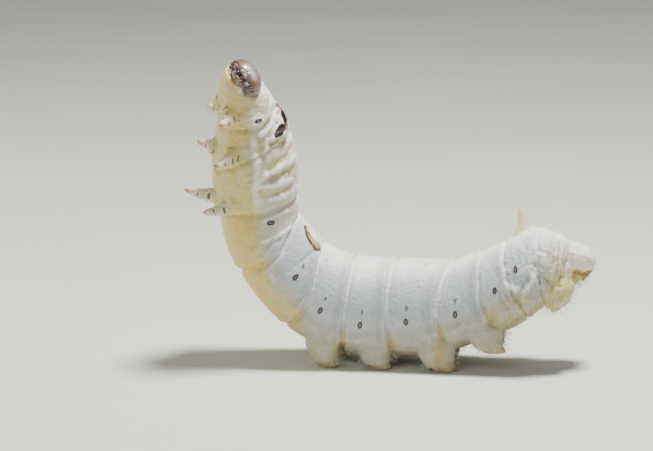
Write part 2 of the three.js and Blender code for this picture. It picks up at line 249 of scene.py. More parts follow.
# %% The folds and the body's own directions
# x, y, z in millimetres; tilt, lean and roll in degrees; half thickness in millimetres.
FOLDS = np.array([
    (-18.3, -3.3, 36.8, -25, 28, 24, 2.6),
    (-17.9, -1.4, 32.2, 24, 25, 22, 3.85),
    (-17.2, 0.3, 26.9, 22, 15, 22, 5.4),
    (-16.4, 1.4, 20.0, 10, 5, 25, 5.05),
    (-15.3, 1.6, 15.6, 40, 0, 20, 5.25),
    (-10.7, 1.6, 10.1, 63, 0, 6, 5.8),
    (-5.1, 1.5, 7.8, 80, -4, 0, 5.8),
    (1.0, 0.8, 7.6, 91, -11, 0, 5.75),
    (7.4, -0.6, 7.9, 91, -13, 7, 5.5),
    (12.2, -1.6, 9.5, 101, -11, 14, 5.25),
    (15.1, -2.1, 10.8, 107, -5, 14, 5.15),
    (18.1, -2.2, 12.6, 93, 0, 12, 5.2),
    (19.9, -2.2, 12.8, 82, 0, 10, 4.5),
    (21.6, -2.2, 13.6, 80, 0, 10, 3.0),
])
LAST_FOLD = len(FOLDS) - 1
# How far each fold strays from its flat ring, in segment lengths, at these angles from the back.
BOW_DEGREES = (0, 45, 90, 135, 180)
FOLD_BOWS = (
    (0, 0, 0, 0, 0),
    (-0.40, -0.25, 0.12, -0.05, 0),
    (-0.10, -0.15, -0.30, -0.25, 0),
    (-0.10, -0.10, -0.05, -0.05, -0.05),
    (-0.15, 0.00, 0.28, 0.20, 0.05),
    (-0.05, 0.00, 0.17, 0.12, 0),
    (-0.05, -0.05, -0.03, 0.03, 0),
    (0.00, -0.05, -0.07, -0.03, 0),
    (0.20, 0.00, -0.10, 0.02, 0),
    (0.08, 0.02, -0.05, 0.14, 0.1),
    (0.25, 0.05, 0.03, 0.25, 0.3),
    (0.25, 0.05, -0.02, 0.25, 0.3),
    (0, 0, 0, 0, 0),
    (0, 0, 0, 0, 0),
)


def read_folds(along):
    """All seven sizes at places along the body, on a smooth curve through the folds."""
    along = np.clip(np.atleast_1d(np.asarray(along, float)), 0, LAST_FOLD)
    first = np.minimum(along.astype(int), LAST_FOLD - 1)
    t = (along - first)[:, None]
    # Each stretch is a cubic through four rows, so the curve is smooth where two stretches meet.
    rows = np.vstack([2 * FOLDS[0] - FOLDS[1], FOLDS, 2 * FOLDS[-1] - FOLDS[-2]])
    a, b, c, d = (rows[first + i] for i in range(4))
    return 0.5 * (2 * b + (c - a) * t + (2 * a - 5 * b + 4 * c - d) * t**2 + (3 * b - a - 3 * c + d) * t**3)


def body_frame(along):
    """Middle, back, left and tailward directions and half thickness, as arrays."""
    sizes = read_folds(along)
    tilt, lean, roll = np.radians(sizes[:, 3:6]).T
    zero = np.zeros_like(tilt)
    tail = np.stack([np.sin(tilt) * np.cos(lean), np.sin(lean), -np.cos(tilt) * np.cos(lean)], 1)
    upright = np.stack([np.cos(tilt), zero, np.sin(tilt)], 1)
    across = np.cross(upright, tail)
    back = upright * np.cos(roll)[:, None] + across * np.sin(roll)[:, None]
    left = upright * np.sin(roll)[:, None] - across * np.cos(roll)[:, None]
    return sizes[:, :3], back, left, tail, sizes[:, 6]


def segment_place(along, angle):
    """Place along the body counted by the wandering folds, so that every fold lies at a whole number."""
    turn = np.degrees(np.abs(angle))
    folds = np.stack([k + np.interp(turn, BOW_DEGREES, bow) for k, bow in enumerate(FOLD_BOWS)], 1)
    k = np.clip((along[:, None] >= folds).sum(1) - 1, 0, LAST_FOLD - 1)
    row = np.arange(len(along))
    start, end = folds[row, k], folds[row, k + 1]
    return np.clip(k + (along - start) / (end - start), 0, LAST_FOLD)


middles = read_folds(np.linspace(0, LAST_FOLD, 400))[:, :3]
body_length = float(np.linalg.norm(np.diff(middles, axis=0), axis=1).sum())
print("length along the body's middle, mm:", round(body_length, 1))

# %% [markdown]
# ## Forms of the soft body
# A silkworm's ring is not a plain barrel. It is pinched at the fold, swells quickly behind it and carries a
# weaker fold toward its tail end. A row of soft pads runs along each side under the breathing holes, and
# the belly sags between the prolegs. Each of these is a short formula on the two body numbers, so the same
# rule gives all thirteen rings. The thorax and the tail crease in ways of their own, and there single
# strokes raise or sink the skin along a short line, given by its ends.


# %% Soft forms by formula
def hump(value, centre, width):
    """1 at the centre, falling off smoothly on both sides."""
    return np.exp(-(((value - centre) / width) ** 2))


# Shares of the half thickness: the fold's pinch, the ring's slow swell, its two weaker folds and its pads.
PINCH = 0.055
SWELL = 0.022
MIDDLE_FOLD = 0.010
HIND_FOLD = 0.014
PAD_HEIGHT = 0.066
PAD_GROOVE = 0.028
BELLY_SAG = 0.2
BELLY_FLATTENING = 0.05
# Local swellings: along, angle in degrees, their half widths and height in millimetres.
SWELLINGS = (
    (0.35, 52, 0.22, 26, 0.12),
    (0.80, 95, 0.16, 16, 0.45),
    (1.10, 84, 0.13, 10, 0.35),
    (0.90, 73, 0.12, 9, 0.30),
    (1.45, 44, 0.25, 34, 0.42),
    (1.72, 64, 0.12, 18, 0.30),
    (2.62, 92, 0.20, 30, 0.30),
    (2.55, 30, 0.30, 50, 0.20),
    (10.95, 0, 0.22, 40, 0.25),
)


def skin_radius(along, angle, base):
    """Distance from the middle of the body to the skin, in millimetres."""
    place = segment_place(along, angle)
    within = place - np.floor(place)
    edge = np.abs(2 * within - 1)
    turn = np.degrees(np.abs(angle))
    inner = (place > 0.5) & (place < LAST_FOLD - 0.5)
    abdomen = np.clip(place - 2.6, 0, 1)
    pinch = np.where(inner, PINCH, 0.01) * edge**9 + SWELL * edge**2.5
    ring_fold = (MIDDLE_FOLD * hump(within, 0.63, 0.045) + HIND_FOLD * hump(within, 0.83, 0.035)) * abdomen
    pads = (hump(within, 0.32, 0.20) + 0.8 * hump(within, 0.76, 0.12)) * hump(turn, 128, 11)
    hind = 1 - 0.8 * np.clip((place - 8.6) / 0.8, 0, 1)
    ledge = (PAD_HEIGHT * pads - PAD_GROOVE * hump(turn, 112, 7) * (1 - edge**4)) * abdomen * hind
    under = np.clip(-np.cos(angle), 0, 1) ** 2
    sag = BELLY_SAG * hump(along, 7, 1.5) - BELLY_FLATTENING
    radius = base * (1.02 - pinch - ring_fold + ledge + sag * under)
    for centre, degrees, half, spread, height in SWELLINGS:
        radius = radius + height * hump(along, centre, half) * hump(turn, degrees, spread)
    return radius


RINGS = 620
ROUND = 240
# The lip around the head: distance ahead of the first ring in millimetres, and share of its size.
LIP = ((0.62, 0.80), (0.60, 0.94), (0.35, 1.0))


def body_loft():
    """The whole body as one closed grid of points, with a rounded lip around the head."""
    along, angle = np.meshgrid(np.linspace(0, LAST_FOLD, RINGS),
                               np.linspace(-np.pi, np.pi, ROUND, endpoint=False), indexing="ij")
    middle, back, left, _, base = body_frame(along.ravel())
    turn = angle.ravel()
    radius = skin_radius(along.ravel(), turn, base)
    points = middle + radius[:, None] * (np.cos(turn)[:, None] * back + np.sin(turn)[:, None] * left)
    grid = points.reshape(RINGS, ROUND, 3)
    neck, _, _, tail, _ = (part[0] for part in body_frame([0]))
    lip = [(grid[0] - neck) * size + neck - tail * ahead for ahead, size in LIP]
    grid = np.concatenate([np.array(lip), grid])
    corner = np.arange(len(grid) * ROUND).reshape(len(grid), ROUND)
    after = np.roll(corner, -1, axis=1)
    faces = np.stack([corner[:-1], after[:-1], after[1:], corner[1:]], -1).reshape(-1, 4).tolist()
    return grid.reshape(-1, 3).tolist(), faces + [corner[0][::-1].tolist(), corner[-1].tolist()]


def add_mesh(name, points_mm, faces):
    """A new object from points in millimetres, with its normals made to point out."""
    mesh = bpy.data.meshes.new(name)
    mesh.from_pydata([tuple(c * MM for c in p) for p in points_mm], [], faces)
    solid = bmesh.new()
    solid.from_mesh(mesh)
    bmesh.ops.recalc_face_normals(solid, faces=solid.faces)
    solid.to_mesh(mesh)
    solid.free()
    for face in mesh.polygons:
        face.use_smooth = True
    made = bpy.data.objects.new(name, mesh)
    bpy.context.scene.collection.objects.link(made)
    return made


def merge(name, parts):
    """One object of several closed forms, each given as points and faces."""
    points, faces = [], []
    for part_points, part_faces in parts:
        faces += [[len(points) + i for i in face] for face in part_faces]
        points += [list(p) for p in part_points]
    return add_mesh(name, points, faces)


def dress(piece, finish, slot, *nodes):
    """Gives a piece its finish and its place in the frame."""
    piece.data.materials.clear()
    piece.data.materials.append(finish.material)
    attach(piece, "root")
    if nodes:
        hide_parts(*nodes)


# %% [markdown]
# ## Limbs and lobes of the skin
# The prolegs, the claspers and the plate over the tail grow out of the body without a seam. Each is a row
# of rings on a bent line, and they are pushed well into the body here, so that the voxel remesh that comes
# next melts them together. Sweeping rings keeps the foot flat and square to what it stands on.


# %% Rings on a bent line
def ring(centre, direction, side, width, height, sides=24, wobble=0.0, seed=0):
    """A ring of points square to a direction, its width along the side direction."""
    axis = Vector(direction).normalized()
    across = Vector(side)
    across = (across - axis * across.dot(axis)).normalized()
    rise = axis.cross(across)
    points = []
    for i in range(sides):
        turn = 2 * math.pi * i / sides
        swell = 1 + wobble * math.sin(3 * turn + seed)
        points.append(Vector(centre) + across * (width * swell * math.cos(turn))
                      + rise * (height * swell * math.sin(turn)))
    return points


def loft(rings):
    """Points and faces of a closed form over rings of equal count."""
    count = len(rings[0])
    points = [p for one in rings for p in one]
    faces = []
    for r in range(len(rings) - 1):
        for i in range(count):
            a = r * count + i
            b = r * count + (i + 1) % count
            faces.append([a, b, b + count, a + count])
    faces.append(list(range(count))[::-1])
    faces.append([(len(rings) - 1) * count + i for i in range(count)])
    return points, faces


def egg(centre, axes, sizes, rows=20, sides=32):
    """An egg on three directions, with its poles along the last one."""
    rings = []
    for r in range(rows + 1):
        polar = math.pi * (0.02 + 0.96 * r / rows)
        rings.append([Vector(centre)
                      + Vector(axes[0]) * (sizes[0] * math.sin(polar) * math.cos(2 * math.pi * i / sides))
                      + Vector(axes[1]) * (sizes[1] * math.sin(polar) * math.sin(2 * math.pi * i / sides))
                      - Vector(axes[2]) * (sizes[2] * math.cos(polar)) for i in range(sides)])
    return loft(rings)


def frame_at(along):
    """Middle, back, left and tailward directions and half thickness at one place of the body."""
    return [Vector(part[0]) if part.ndim > 1 else float(part[0]) for part in body_frame([along])]


def body_point(along, degrees, grow=0.0):
    """A point on or under the skin, with the body's directions there."""
    middle, back, left, tail, base = (np.asarray(part)[0] for part in body_frame([along]))
    turn = math.radians(degrees)
    radius = float(skin_radius(np.array([along]), np.array([turn]), np.array([base]))[0]) + grow
    out = math.cos(turn) * back + math.sin(turn) * left
    return Vector(middle + radius * out), Vector(out), Vector(tail)


# %% Prolegs and claspers
FOOT_RADIUS = 1.35
ANKLE_LIFT = 0.55
PROLEG_ANGLE = 146
# Place along the body, half thickness at the root, then the left and the right foot.
PROLEGS = {
    3: (5.62, 2.25, (-7.6, -1.2, 0), (-6.7, 4.6, 0)),
    4: (6.62, 2.25, (-1.1, -2.3, 0), (-0.5, 3.7, 0)),
    5: (7.78, 2.5, (6.8, -3.7, 0), (7.2, 2.3, 0)),
    6: (8.8, 2.25, (12.9, -4.8, 2.6), (13.2, 0.9, 2.4)),
}
# Angle from the back, half thickness at the root, foot and the way its sole faces.
CLASPERS = {
    "left": (138, 2.2, (21.3, -4.6, 8.5), (0.62, 0, -0.78)),
    "right": (-120, 2.0, (24.9, 0.2, 11.7), (0.8, 0.1, -0.6)),
}
CLASPER_ALONG = 12.35
# Share of the way down and width there: a fleshy cone and a fold at the ankle, then the pad of the foot.
PROLEG_SHAPE = ((0.0, 1.0), (0.3, 1.03), (0.48, 0.98), (0.6, 0.86), (0.67, 0.80), (0.76, 0.78), (0.86, 0.66))
FOOT_SHAPE = ((0.5, 0.98), (0.3, 1.06), (0.12, 1.04), (0.0, 0.93))


def bend_point(root, knee, foot, share):
    """A point on the arc that bends past the knee."""
    return root * (1 - share) ** 2 + knee * (2 * share * (1 - share)) + foot * share**2


def proleg(along, degrees, root_radius, foot, sole, seed):
    """A soft leg from inside the belly down to a flat foot."""
    root, _, tail = body_point(along, degrees, -root_radius * 1.1)
    knee = body_point(along, degrees, 0.2)[0].lerp(Vector(foot), 0.25)
    foot = Vector(foot)
    sole = Vector(sole).normalized()
    rings = []
    for share, size in PROLEG_SHAPE:
        here = bend_point(root, knee, foot, share)
        way = bend_point(root, knee, foot, share + 0.02) - here
        soft = ring(here, way, tail, root_radius * size, root_radius * size * 0.9, wobble=0.03, seed=seed)
        rings.append([p - sole * max(0, ANKLE_LIFT + (p - foot).dot(sole)) for p in soft])
    for lift, size in FOOT_SHAPE:
        rings.append(ring(foot - sole * lift, sole, tail, FOOT_RADIUS * size, FOOT_RADIUS * size * 0.86,
                          wobble=0.05, seed=seed))
    return loft(rings)


limbs = []
feet = []
for number, (along, root_radius, left_foot, right_foot) in PROLEGS.items():
    for side, foot in ((1, left_foot), (-1, right_foot)):
        limbs.append(proleg(along, side * PROLEG_ANGLE, root_radius, foot, (0, 0, -1), number + side))
        feet.append((along, foot, (0, 0, -1)))
for degrees, root_radius, foot, sole in CLASPERS.values():
    limbs.append(proleg(CLASPER_ALONG, degrees, root_radius, foot, sole, degrees))
    feet.append((CLASPER_ALONG, foot, sole))
print("prolegs and claspers:", len(limbs))

# %% Tail plate, tail end and the mounds that carry the thorax legs
TAIL_AXES = (Vector((0.93, 0, -0.37)), Vector((0, 1, 0)), Vector((0.37, 0, 0.93)))
limbs.append(egg((22.9, -2.2, 14.5), TAIL_AXES, (2.9, 2.5, 1.5)))
limbs.append(egg((20.7, -2.2, 12.9), TAIL_AXES, (2.0, 3.5, 3.3)))
LEG_ANGLE = 148
# Place along the body, then the tips of the left and the right leg.
LEGS = {
    1: (0.66, (-20.9, -7.0, 31.6), (-22.7, -2.1, 33.1)),
    2: (1.62, (-21.6, -6.4, 26.4), (-24.0, -0.4, 28.5)),
    3: (2.72, (-23.3, -2.4, 19.8), (-25.7, 1.1, 22.1)),
}
MOUND = 1.5
for along, _, _ in LEGS.values():
    for side in (1, -1):
        centre, out, tail = body_point(along, side * LEG_ANGLE, -0.85)
        limbs.append(egg(centre, (tail, out.cross(tail), out), (MOUND, MOUND, MOUND), 12, 20))
print("soft forms to melt together:", len(limbs) + 1)

# %% [markdown]
# ## One skin
# A voxel remesh turns the overlapping forms into a single closed surface with even small faces. A light
# smoothing rounds the joins. Fine wrinkles come after it, because anything smaller than a voxel would be
# lost. Each point of the skin then gets its two body numbers back, and both the wrinkles and the colours are
# read from them.

# %% Melt the forms into one skin
VOXEL = 0.196 * MM
SMOOTH_STEPS = 5


def remeshed(name, parts, voxel, smooth_steps):
    """The forms melted into one closed surface."""
    rough = merge(name + "_parts", parts)
    melt = rough.modifiers.new("melt", "REMESH")
    melt.mode = "VOXEL"
    melt.voxel_size = voxel
    melt.use_smooth_shade = True
    even = rough.modifiers.new("even", "SMOOTH")
    even.factor = 0.5
    even.iterations = smooth_steps
    bpy.context.view_layer.update()
    mesh = bpy.data.meshes.new_from_object(rough.evaluated_get(bpy.context.evaluated_depsgraph_get()))
    mesh.name = name
    bpy.data.objects.remove(rough)
    made = bpy.data.objects.new(name, mesh)
    bpy.context.scene.collection.objects.link(made)
    return made


skin = remeshed("skin", [body_loft()] + limbs, VOXEL, SMOOTH_STEPS)
print("skin triangles:", sum(len(face.vertices) - 2 for face in skin.data.polygons))


# %% Body numbers for every point
SEGMENT_LENGTH = 5.2
BATCH = 4000
# A point that is farther than this from a place on the body's middle can't belong to that place.
REACH = 9.0
TOO_FAR = 50.0


def body_numbers(points_mm):
    """How far along the body each point lies, its angle from the back and its distance from the middle."""
    places = np.linspace(0, LAST_FOLD, 900)
    middle, back, left, tail, _ = body_frame(places)
    along = np.empty(len(points_mm))
    for start in range(0, len(points_mm), BATCH):
        some = points_mm[start:start + BATCH]
        ahead = some @ tail.T - (middle * tail).sum(1)
        far = np.linalg.norm(some[:, None, :] - middle[None, :, :], axis=2)
        misfit = np.abs(ahead) + np.where(far > REACH, TOO_FAR, 0.06 * far)
        along[start:start + BATCH] = places[np.argmin(misfit, axis=1)]
    middle, back, left, tail, _ = body_frame(along)
    along = along + np.clip(((points_mm - middle) * tail).sum(1), -0.1, 0.1) / SEGMENT_LENGTH
    middle, back, left, tail, _ = body_frame(along)
    away = points_mm - middle
    flat_back = (away * back).sum(1)
    flat_left = (away * left).sum(1)
    return along, np.arctan2(flat_left, flat_back), np.hypot(flat_left, flat_back)


def points_of(mesh):
    """The mesh's points in millimetres."""
    points = np.empty(len(mesh.vertices) * 3)
    mesh.vertices.foreach_get("co", points)
    return points.reshape(-1, 3) / MM


def normals_of(mesh):
    normals = np.empty(len(mesh.vertices) * 3)
    mesh.vertices.foreach_get("normal", normals)
    return normals.reshape(-1, 3)


def keep_attribute(mesh, name, values):
    made = mesh.attributes.get(name) or mesh.attributes.new(name, "FLOAT", "POINT")
    made.data.foreach_set("value", np.asarray(values, np.float32))


points = points_of(skin.data)
along, angle, distance = body_numbers(points)
place = segment_place(along, angle)
print("skin points:", len(points), "along from", along.min().round(2), "to", along.max().round(2))

# %% [markdown]
# ## Wrinkles and folds
# Soft skin creases where the body bends, and it is drawn in at every fold between two segments. A bump in
# the finish would leave the outline smooth, so the points themselves move, each along its own normal. The
# distance is a sum: single strokes, the fold lines, and noise stretched along or across the body. The noise
# is strong where a real silkworm is creased, which is on the thorax, on the side pads and at the rear.

# %% Strokes of the skin
# Each stroke is a ridge (height above 0) or a groove (below 0) along a line from one place to another, by
# along and angle: start, end, half width and height in millimetres. They lie alike on both sides.
DEGREE_LENGTH = 0.088
STROKES = (
    (0.62, 0, 0.64, 48, 0.35, -0.40),
    (0.05, 95, 0.55, 112, 0.5, -0.20),
    (0.62, 104, 0.75, 78, 0.25, -0.15),
    (0.95, 116, 1.08, 74, 0.30, -0.40),
    (1.18, 74, 1.22, 98, 0.28, 0.35),
    (1.38, 88, 1.66, 94, 0.22, 0.30),
    (1.50, 78, 1.60, 58, 0.30, 0.35),
    (1.62, 82, 1.86, 48, 0.30, -0.35),
    (1.30, 100, 1.60, 104, 0.40, -0.25),
    (2.28, 42, 2.18, 80, 0.30, 0.40),
    (2.18, 80, 2.16, 98, 0.28, 0.38),
    (2.16, 98, 2.30, 116, 0.28, 0.25),
    (2.08, 45, 2.04, 88, 0.30, -0.30),
    (2.36, 50, 2.30, 92, 0.22, -0.30),
    (2.49, 58, 2.44, 78, 0.22, 0.32),
    (2.44, 78, 2.33, 110, 0.22, 0.26),
    (2.72, 40, 2.68, 96, 0.30, 0.22),
    (2.60, 60, 2.56, 100, 0.25, -0.20),
    (1.05, 122, 2.90, 123, 0.35, -0.22),
    (1.20, 112, 2.70, 113, 0.45, 0.14),
    (3.00, 112, 2.88, 72, 0.25, -0.28),
    (3.10, 108, 3.05, 70, 0.30, 0.20),
    (3.80, 114, 3.96, 84, 0.30, 0.22),
    (3.96, 84, 4.06, 60, 0.26, 0.22),
    (4.00, 108, 3.86, 92, 0.22, -0.25),
    (4.55, 100, 4.92, 22, 0.22, -0.22),
    (9.60, 98, 9.80, 118, 0.35, -0.30),
    (10.00, 92, 10.40, 108, 0.35, 0.32),
    (10.10, 112, 10.60, 100, 0.30, -0.35),
    (10.45, 116, 10.80, 100, 0.40, 0.35),
    (10.95, 86, 11.10, 112, 0.28, -0.40),
    (11.10, 70, 11.70, 84, 0.30, 0.22),
    (11.40, 100, 12.00, 112, 0.35, -0.30),
    (12.30, 40, 12.35, 100, 0.25, -0.35),
    (11.70, 30, 12.10, 70, 0.30, 0.20),
)
STROKE_STRENGTH = 0.8


def cloudy(places, scale, seed):
    """Smooth noise from -1 to 1 at many places."""
    shift = Vector((seed * 7.3, seed * 1.9, seed * 4.1))
    return np.array([noise.noise(Vector(p) * scale + shift) for p in places])


turn = np.degrees(np.abs(angle))
wander_along = along + 0.07 * cloudy(points, 0.45, 8)
wander_turn = turn + 5.0 * cloudy(points, 0.5, 9)
strokes = np.zeros(len(points))
for along_a, turn_a, along_b, turn_b, half_width, height in STROKES:
    run = np.array([(along_b - along_a) * SEGMENT_LENGTH, (turn_b - turn_a) * DEGREE_LENGTH])
    from_start = np.stack([(wander_along - along_a) * SEGMENT_LENGTH,
                           (wander_turn - turn_a) * DEGREE_LENGTH], 1)
    share = np.clip(from_start @ run / (run @ run), 0, 1)
    aside = np.linalg.norm(from_start - share[:, None] * run, axis=1)
    strokes += STROKE_STRENGTH * height * np.exp(-((aside / half_width) ** 2))
print("strokes, mm:", strokes.min().round(2), strokes.max().round(2))

# %% Calm places around the breathing holes
# Breathing holes: place along the body and angle from the back, the same on both sides.
SPIRACLES = ((0.81, 93), (3.26, 99), (4.72, 92), (5.46, 102), (6.36, 105), (7.32, 101), (8.33, 104),
             (9.51, 92), (10.34, 77))
HALO_SIZE = 1.15
halo = np.zeros(len(points))
for hole_along, hole_turn in SPIRACLES:
    aside = np.hypot((along - hole_along) * SEGMENT_LENGTH, (turn - hole_turn) * DEGREE_LENGTH)
    halo = np.maximum(halo, np.exp(-((aside / HALO_SIZE) ** 2)))
print("points near a breathing hole:", int((halo > 0.5).sum()))

# %% Folds between the segments
# Heights in millimetres: the groove of each fold and the lips before and behind it.
FOLD_DEPTH = 0.26
LIP_BEFORE = 0.12
LIP_BEHIND = 0.05
base_radius = read_folds(along)[:, 6]
behind_fold = (place - np.round(place)) * SEGMENT_LENGTH
# 1 on limbs, where no ring of the body runs.
limb = np.clip((distance - skin_radius(along, angle, base_radius) - 0.25) / 0.5, 0, 1)
folded = np.where((place > 0.4) & (place < 12.6), 1.0, 0.2) * np.where(place > 10.5, 0.55, 1.0) * (1 - limb)
near_fold = hump(behind_fold, 0, 0.9) * folded
fold_line = (LIP_BEFORE * hump(behind_fold, -0.48, 0.28) - FOLD_DEPTH * hump(behind_fold, 0, 0.22)
             + LIP_BEHIND * hump(behind_fold, 0.5, 0.3)) * folded
print("points near a fold:", int((near_fold > 0.5).sum()))

# %% Fine wrinkles
# Heights in millimetres. Grooves run along the body, ripples across it, and crumples are sharp creases.
GROOVE_HEIGHT = 0.05
RIPPLE_HEIGHT = 0.06
LUMP_HEIGHT = 0.13
FINE_LUMP_HEIGHT = 0.05
CRUMPLE_HEIGHT = 0.24
FINE_CRUMPLE_HEIGHT = 0.20
unrolled = np.stack([angle * base_radius, along * SEGMENT_LENGTH, 0 * angle], 1)
grooves = cloudy(unrolled * (1.9, 0.45, 1), 1.0, 1)
ripples = cloudy(unrolled * (0.5, 2.2, 1), 1.0, 2)
lumps = cloudy(points, 0.75, 3)
fine_lumps = cloudy(points, 1.5, 4)
crumple = 0.35 - np.abs(cloudy(unrolled * (0.5, 0.95, 1), 1.0, 6))
fine_crumple = 0.3 - np.abs(cloudy(unrolled * (1.3, 1.6, 1), 1.0, 7))
thorax = np.clip((3.1 - along) / 0.5, 0, 1)
rear = np.clip((along - 8.8) / 1.2, 0, 1)
side_pads = hump(turn, 128, 20) * np.clip(along - 3.2, 0, 1)
collar = np.clip((along - 0.05) / 0.3, 0, 1)
relief = (GROOVE_HEIGHT * grooves * (0.15 + 1.0 * near_fold)
          + RIPPLE_HEIGHT * ripples * (0.15 + 0.8 * thorax + 0.4 * rear)
          + LUMP_HEIGHT * lumps * (0.12 + 0.9 * thorax * hump(turn, 90, 50) + 0.9 * side_pads + 0.9 * rear)
          + FINE_LUMP_HEIGHT * fine_lumps * (0.2 + 0.9 * thorax + 0.8 * side_pads + 0.8 * rear)) * collar
creased = thorax * hump(turn, 85, 45) + 1.2 * rear * np.clip(turn / 60, 0, 1) + 0.7 * side_pads
relief += (CRUMPLE_HEIGHT * crumple + FINE_CRUMPLE_HEIGHT * fine_crumple) * creased * collar

# %% Push the skin out and in
# The soles stay flat, the breathing holes lie in calm skin and nothing goes below the floor.
SOLE_CALM = 0.9
to_foot = np.min([np.linalg.norm(points - np.array(foot), axis=1) for _, foot, _ in feet], axis=0)
relief = (relief + strokes + fold_line) * np.clip((to_foot - SOLE_CALM) / 0.8, 0, 1) * (1 - 0.85 * halo)
points = points + relief[:, None] * normals_of(skin.data)
points[:, 2] = np.maximum(points[:, 2], 0.0)
skin.data.vertices.foreach_set("co", (points * MM).ravel())
skin.data.update()
print("relief, mm:", relief.min().round(3), relief.max().round(3))

# %% [markdown]
# ## The skin's finish
# The skin is white on the back, a cool grey white on the sides that is partly painted shade, and warm cream
# where the light shines through the thinner belly. The skin between the prolegs is yellow to orange brown.
# The low sides of the abdomen carry more painted shade, and the thorax painted highlights on its ridges and
# painted shade in its creases. All of it is read from the two body numbers, with noise to break every edge,
# and light that scatters under the surface does the rest.

# %% Attributes that the colours are read from
# Warm places by along and angle, with their half widths and strength.
WARM_PLACES = (
    (0.45, 125, 0.5, 30, 0.75),
    (0.30, 80, 0.25, 40, 0.35),
    (1.15, 115, 0.08, 6, 0.55),
    (1.25, 140, 0.35, 24, 0.6),
    (1.80, 146, 0.16, 14, 0.85),
    (2.20, 157, 0.30, 16, 0.5),
    (2.66, 132, 0.14, 9, 0.5),
    (3.22, 137, 0.14, 18, 1.0),
    (4.10, 150, 0.9, 34, 0.75),
    (5.00, 160, 0.8, 30, 0.75),
    (4.98, 128, 0.14, 20, 0.6),
    (5.98, 146, 0.16, 16, 0.8),
    (7.02, 140, 0.18, 18, 0.9),
    (7.95, 143, 0.18, 20, 1.0),
    (8.40, 172, 0.5, 16, 0.9),
    (9.22, 128, 0.20, 16, 1.0),
    (9.60, 152, 0.45, 14, 1.0),
    (10.60, 157, 0.8, 14, 1.0),
    (9.75, 114, 0.35, 12, 0.55),
    (10.35, 122, 0.45, 14, 0.6),
    (10.98, 90, 0.12, 26, 0.45),
    (11.75, 100, 0.15, 20, 0.4),
    (12.70, 120, 0.5, 40, 0.6),
    (11.50, 158, 0.5, 18, 1.0),
)
warm = sum(strength * hump(along, centre, half) * hump(turn, degrees, spread)
           for centre, degrees, half, spread, strength in WARM_PLACES)

# A broken dark ring lies on the skin round the root of each thorax leg.
LEG_RING_RADIUS = 1.20
leg_ring = np.zeros(len(points))
for leg_along, left_tip, right_tip in LEGS.values():
    for side, tip in ((1, left_tip), (-1, right_tip)):
        root = np.array(body_point(leg_along, side * LEG_ANGLE, -1.4)[0])
        leg_way = np.array(tip) - root
        share = np.clip((points - root) @ leg_way / (leg_way @ leg_way), 0, 1)
        off_axis = np.linalg.norm(points - root - share[:, None] * leg_way, axis=1)
        leg_ring = np.maximum(leg_ring, hump(off_axis, LEG_RING_RADIUS, 0.13))

SKIN_ATTRIBUTES = {
    "along": along, "place": place, "turn": turn, "warm": np.clip(warm, 0, 1), "halo": halo, "limb": limb,
    "leg_ring": leg_ring, "near_foot": np.clip(1 - to_foot / 3.2, 0, 1), "raised": strokes + 0.5 * relief,
}
for name, values in SKIN_ATTRIBUTES.items():
    keep_attribute(skin.data, name, values)
print("attributes of the skin:", ", ".join(SKIN_ATTRIBUTES))

# %% The skin's colours
SKIN_WHITE = paint(0.88, 0.88, 0.85)
SKIN_GREY_AND_SHADE = paint(0.47, 0.50, 0.53)
SKIN_CREAM = paint(0.68, 0.55, 0.20)
SKIN_YELLOW = paint(0.72, 0.50, 0.11)
SKIN_ORANGE = paint(0.42, 0.20, 0.045)
SKIN_FOOT = paint(0.60, 0.38, 0.16)
SKIN_LOW_SHADE = paint(0.32, 0.30, 0.21)
LEG_RING_BROWN = paint(0.06, 0.04, 0.03)
HALO_WHITE = paint(0.86, 0.88, 0.90)
HALO_GREY = paint(0.55, 0.59, 0.64)
SPECK_GREY = paint(0.24, 0.25, 0.27)
MOTTLE_GREY = paint(0.46, 0.50, 0.55)

soft = Finish("skin_soft", Roughness=0.46, Subsurface_Weight=0.4, Subsurface_Scale=0.001, IOR=1.4)
soft.shader.inputs["Subsurface Radius"].default_value = (1.0, 0.72, 0.42)
soft_along, soft_place, soft_turn, soft_warm, soft_raised, soft_halo, soft_limb = (
    soft.read(name) for name in ("along", "place", "turn", "warm", "raised", "halo", "limb"))
soft_cloud = soft.noise(420.0)
soft_fine = soft.noise(2400.0, 4.0)

# %% White back, grey sides with painted shade, cream belly, painted light and shade on the thorax creases
soft_thorax = 1 - soft.step(frayed(soft_along, soft_cloud, 1.2), 3.2, 4.4)
soft_front = 1 - soft.step(frayed(soft_along, soft_cloud, 0.8), 3.4, 5.6)
soft_belly = soft.step(frayed(soft_turn, soft_cloud, 40), 104.0, 136.0)
soft.colour = SKIN_WHITE
# Grey sides: the skin's cool grey, darkened further as painted shade where the sides turn away from light
# above.
soft.cover(soft.step(frayed(soft_turn, soft_cloud, 30), 20.0, 62.0), SKIN_GREY_AND_SHADE)
soft.cover(soft_thorax * soft.step(soft_turn, 10.0, 70.0) * (0.30 + 0.55 * soft_cloud), SKIN_CREAM)
# Painted shade: the valleys of the thorax creases are darkened to cream.
soft.cover((1 - soft.step(soft_raised, -0.14, 0.0)) * soft_thorax * 0.4, SKIN_CREAM)
# Painted highlight: every raised ridge of the skin is whitened.
soft.cover(soft.step(soft_raised, 0.0, 0.26) * 0.85, SKIN_WHITE)
soft.cover(soft_belly * (0.34 + 0.60 * soft_front), SKIN_CREAM)
soft.cover(soft_belly * soft_front * soft.step(soft_along, 2.8, 3.2) * 0.5, SKIN_YELLOW)
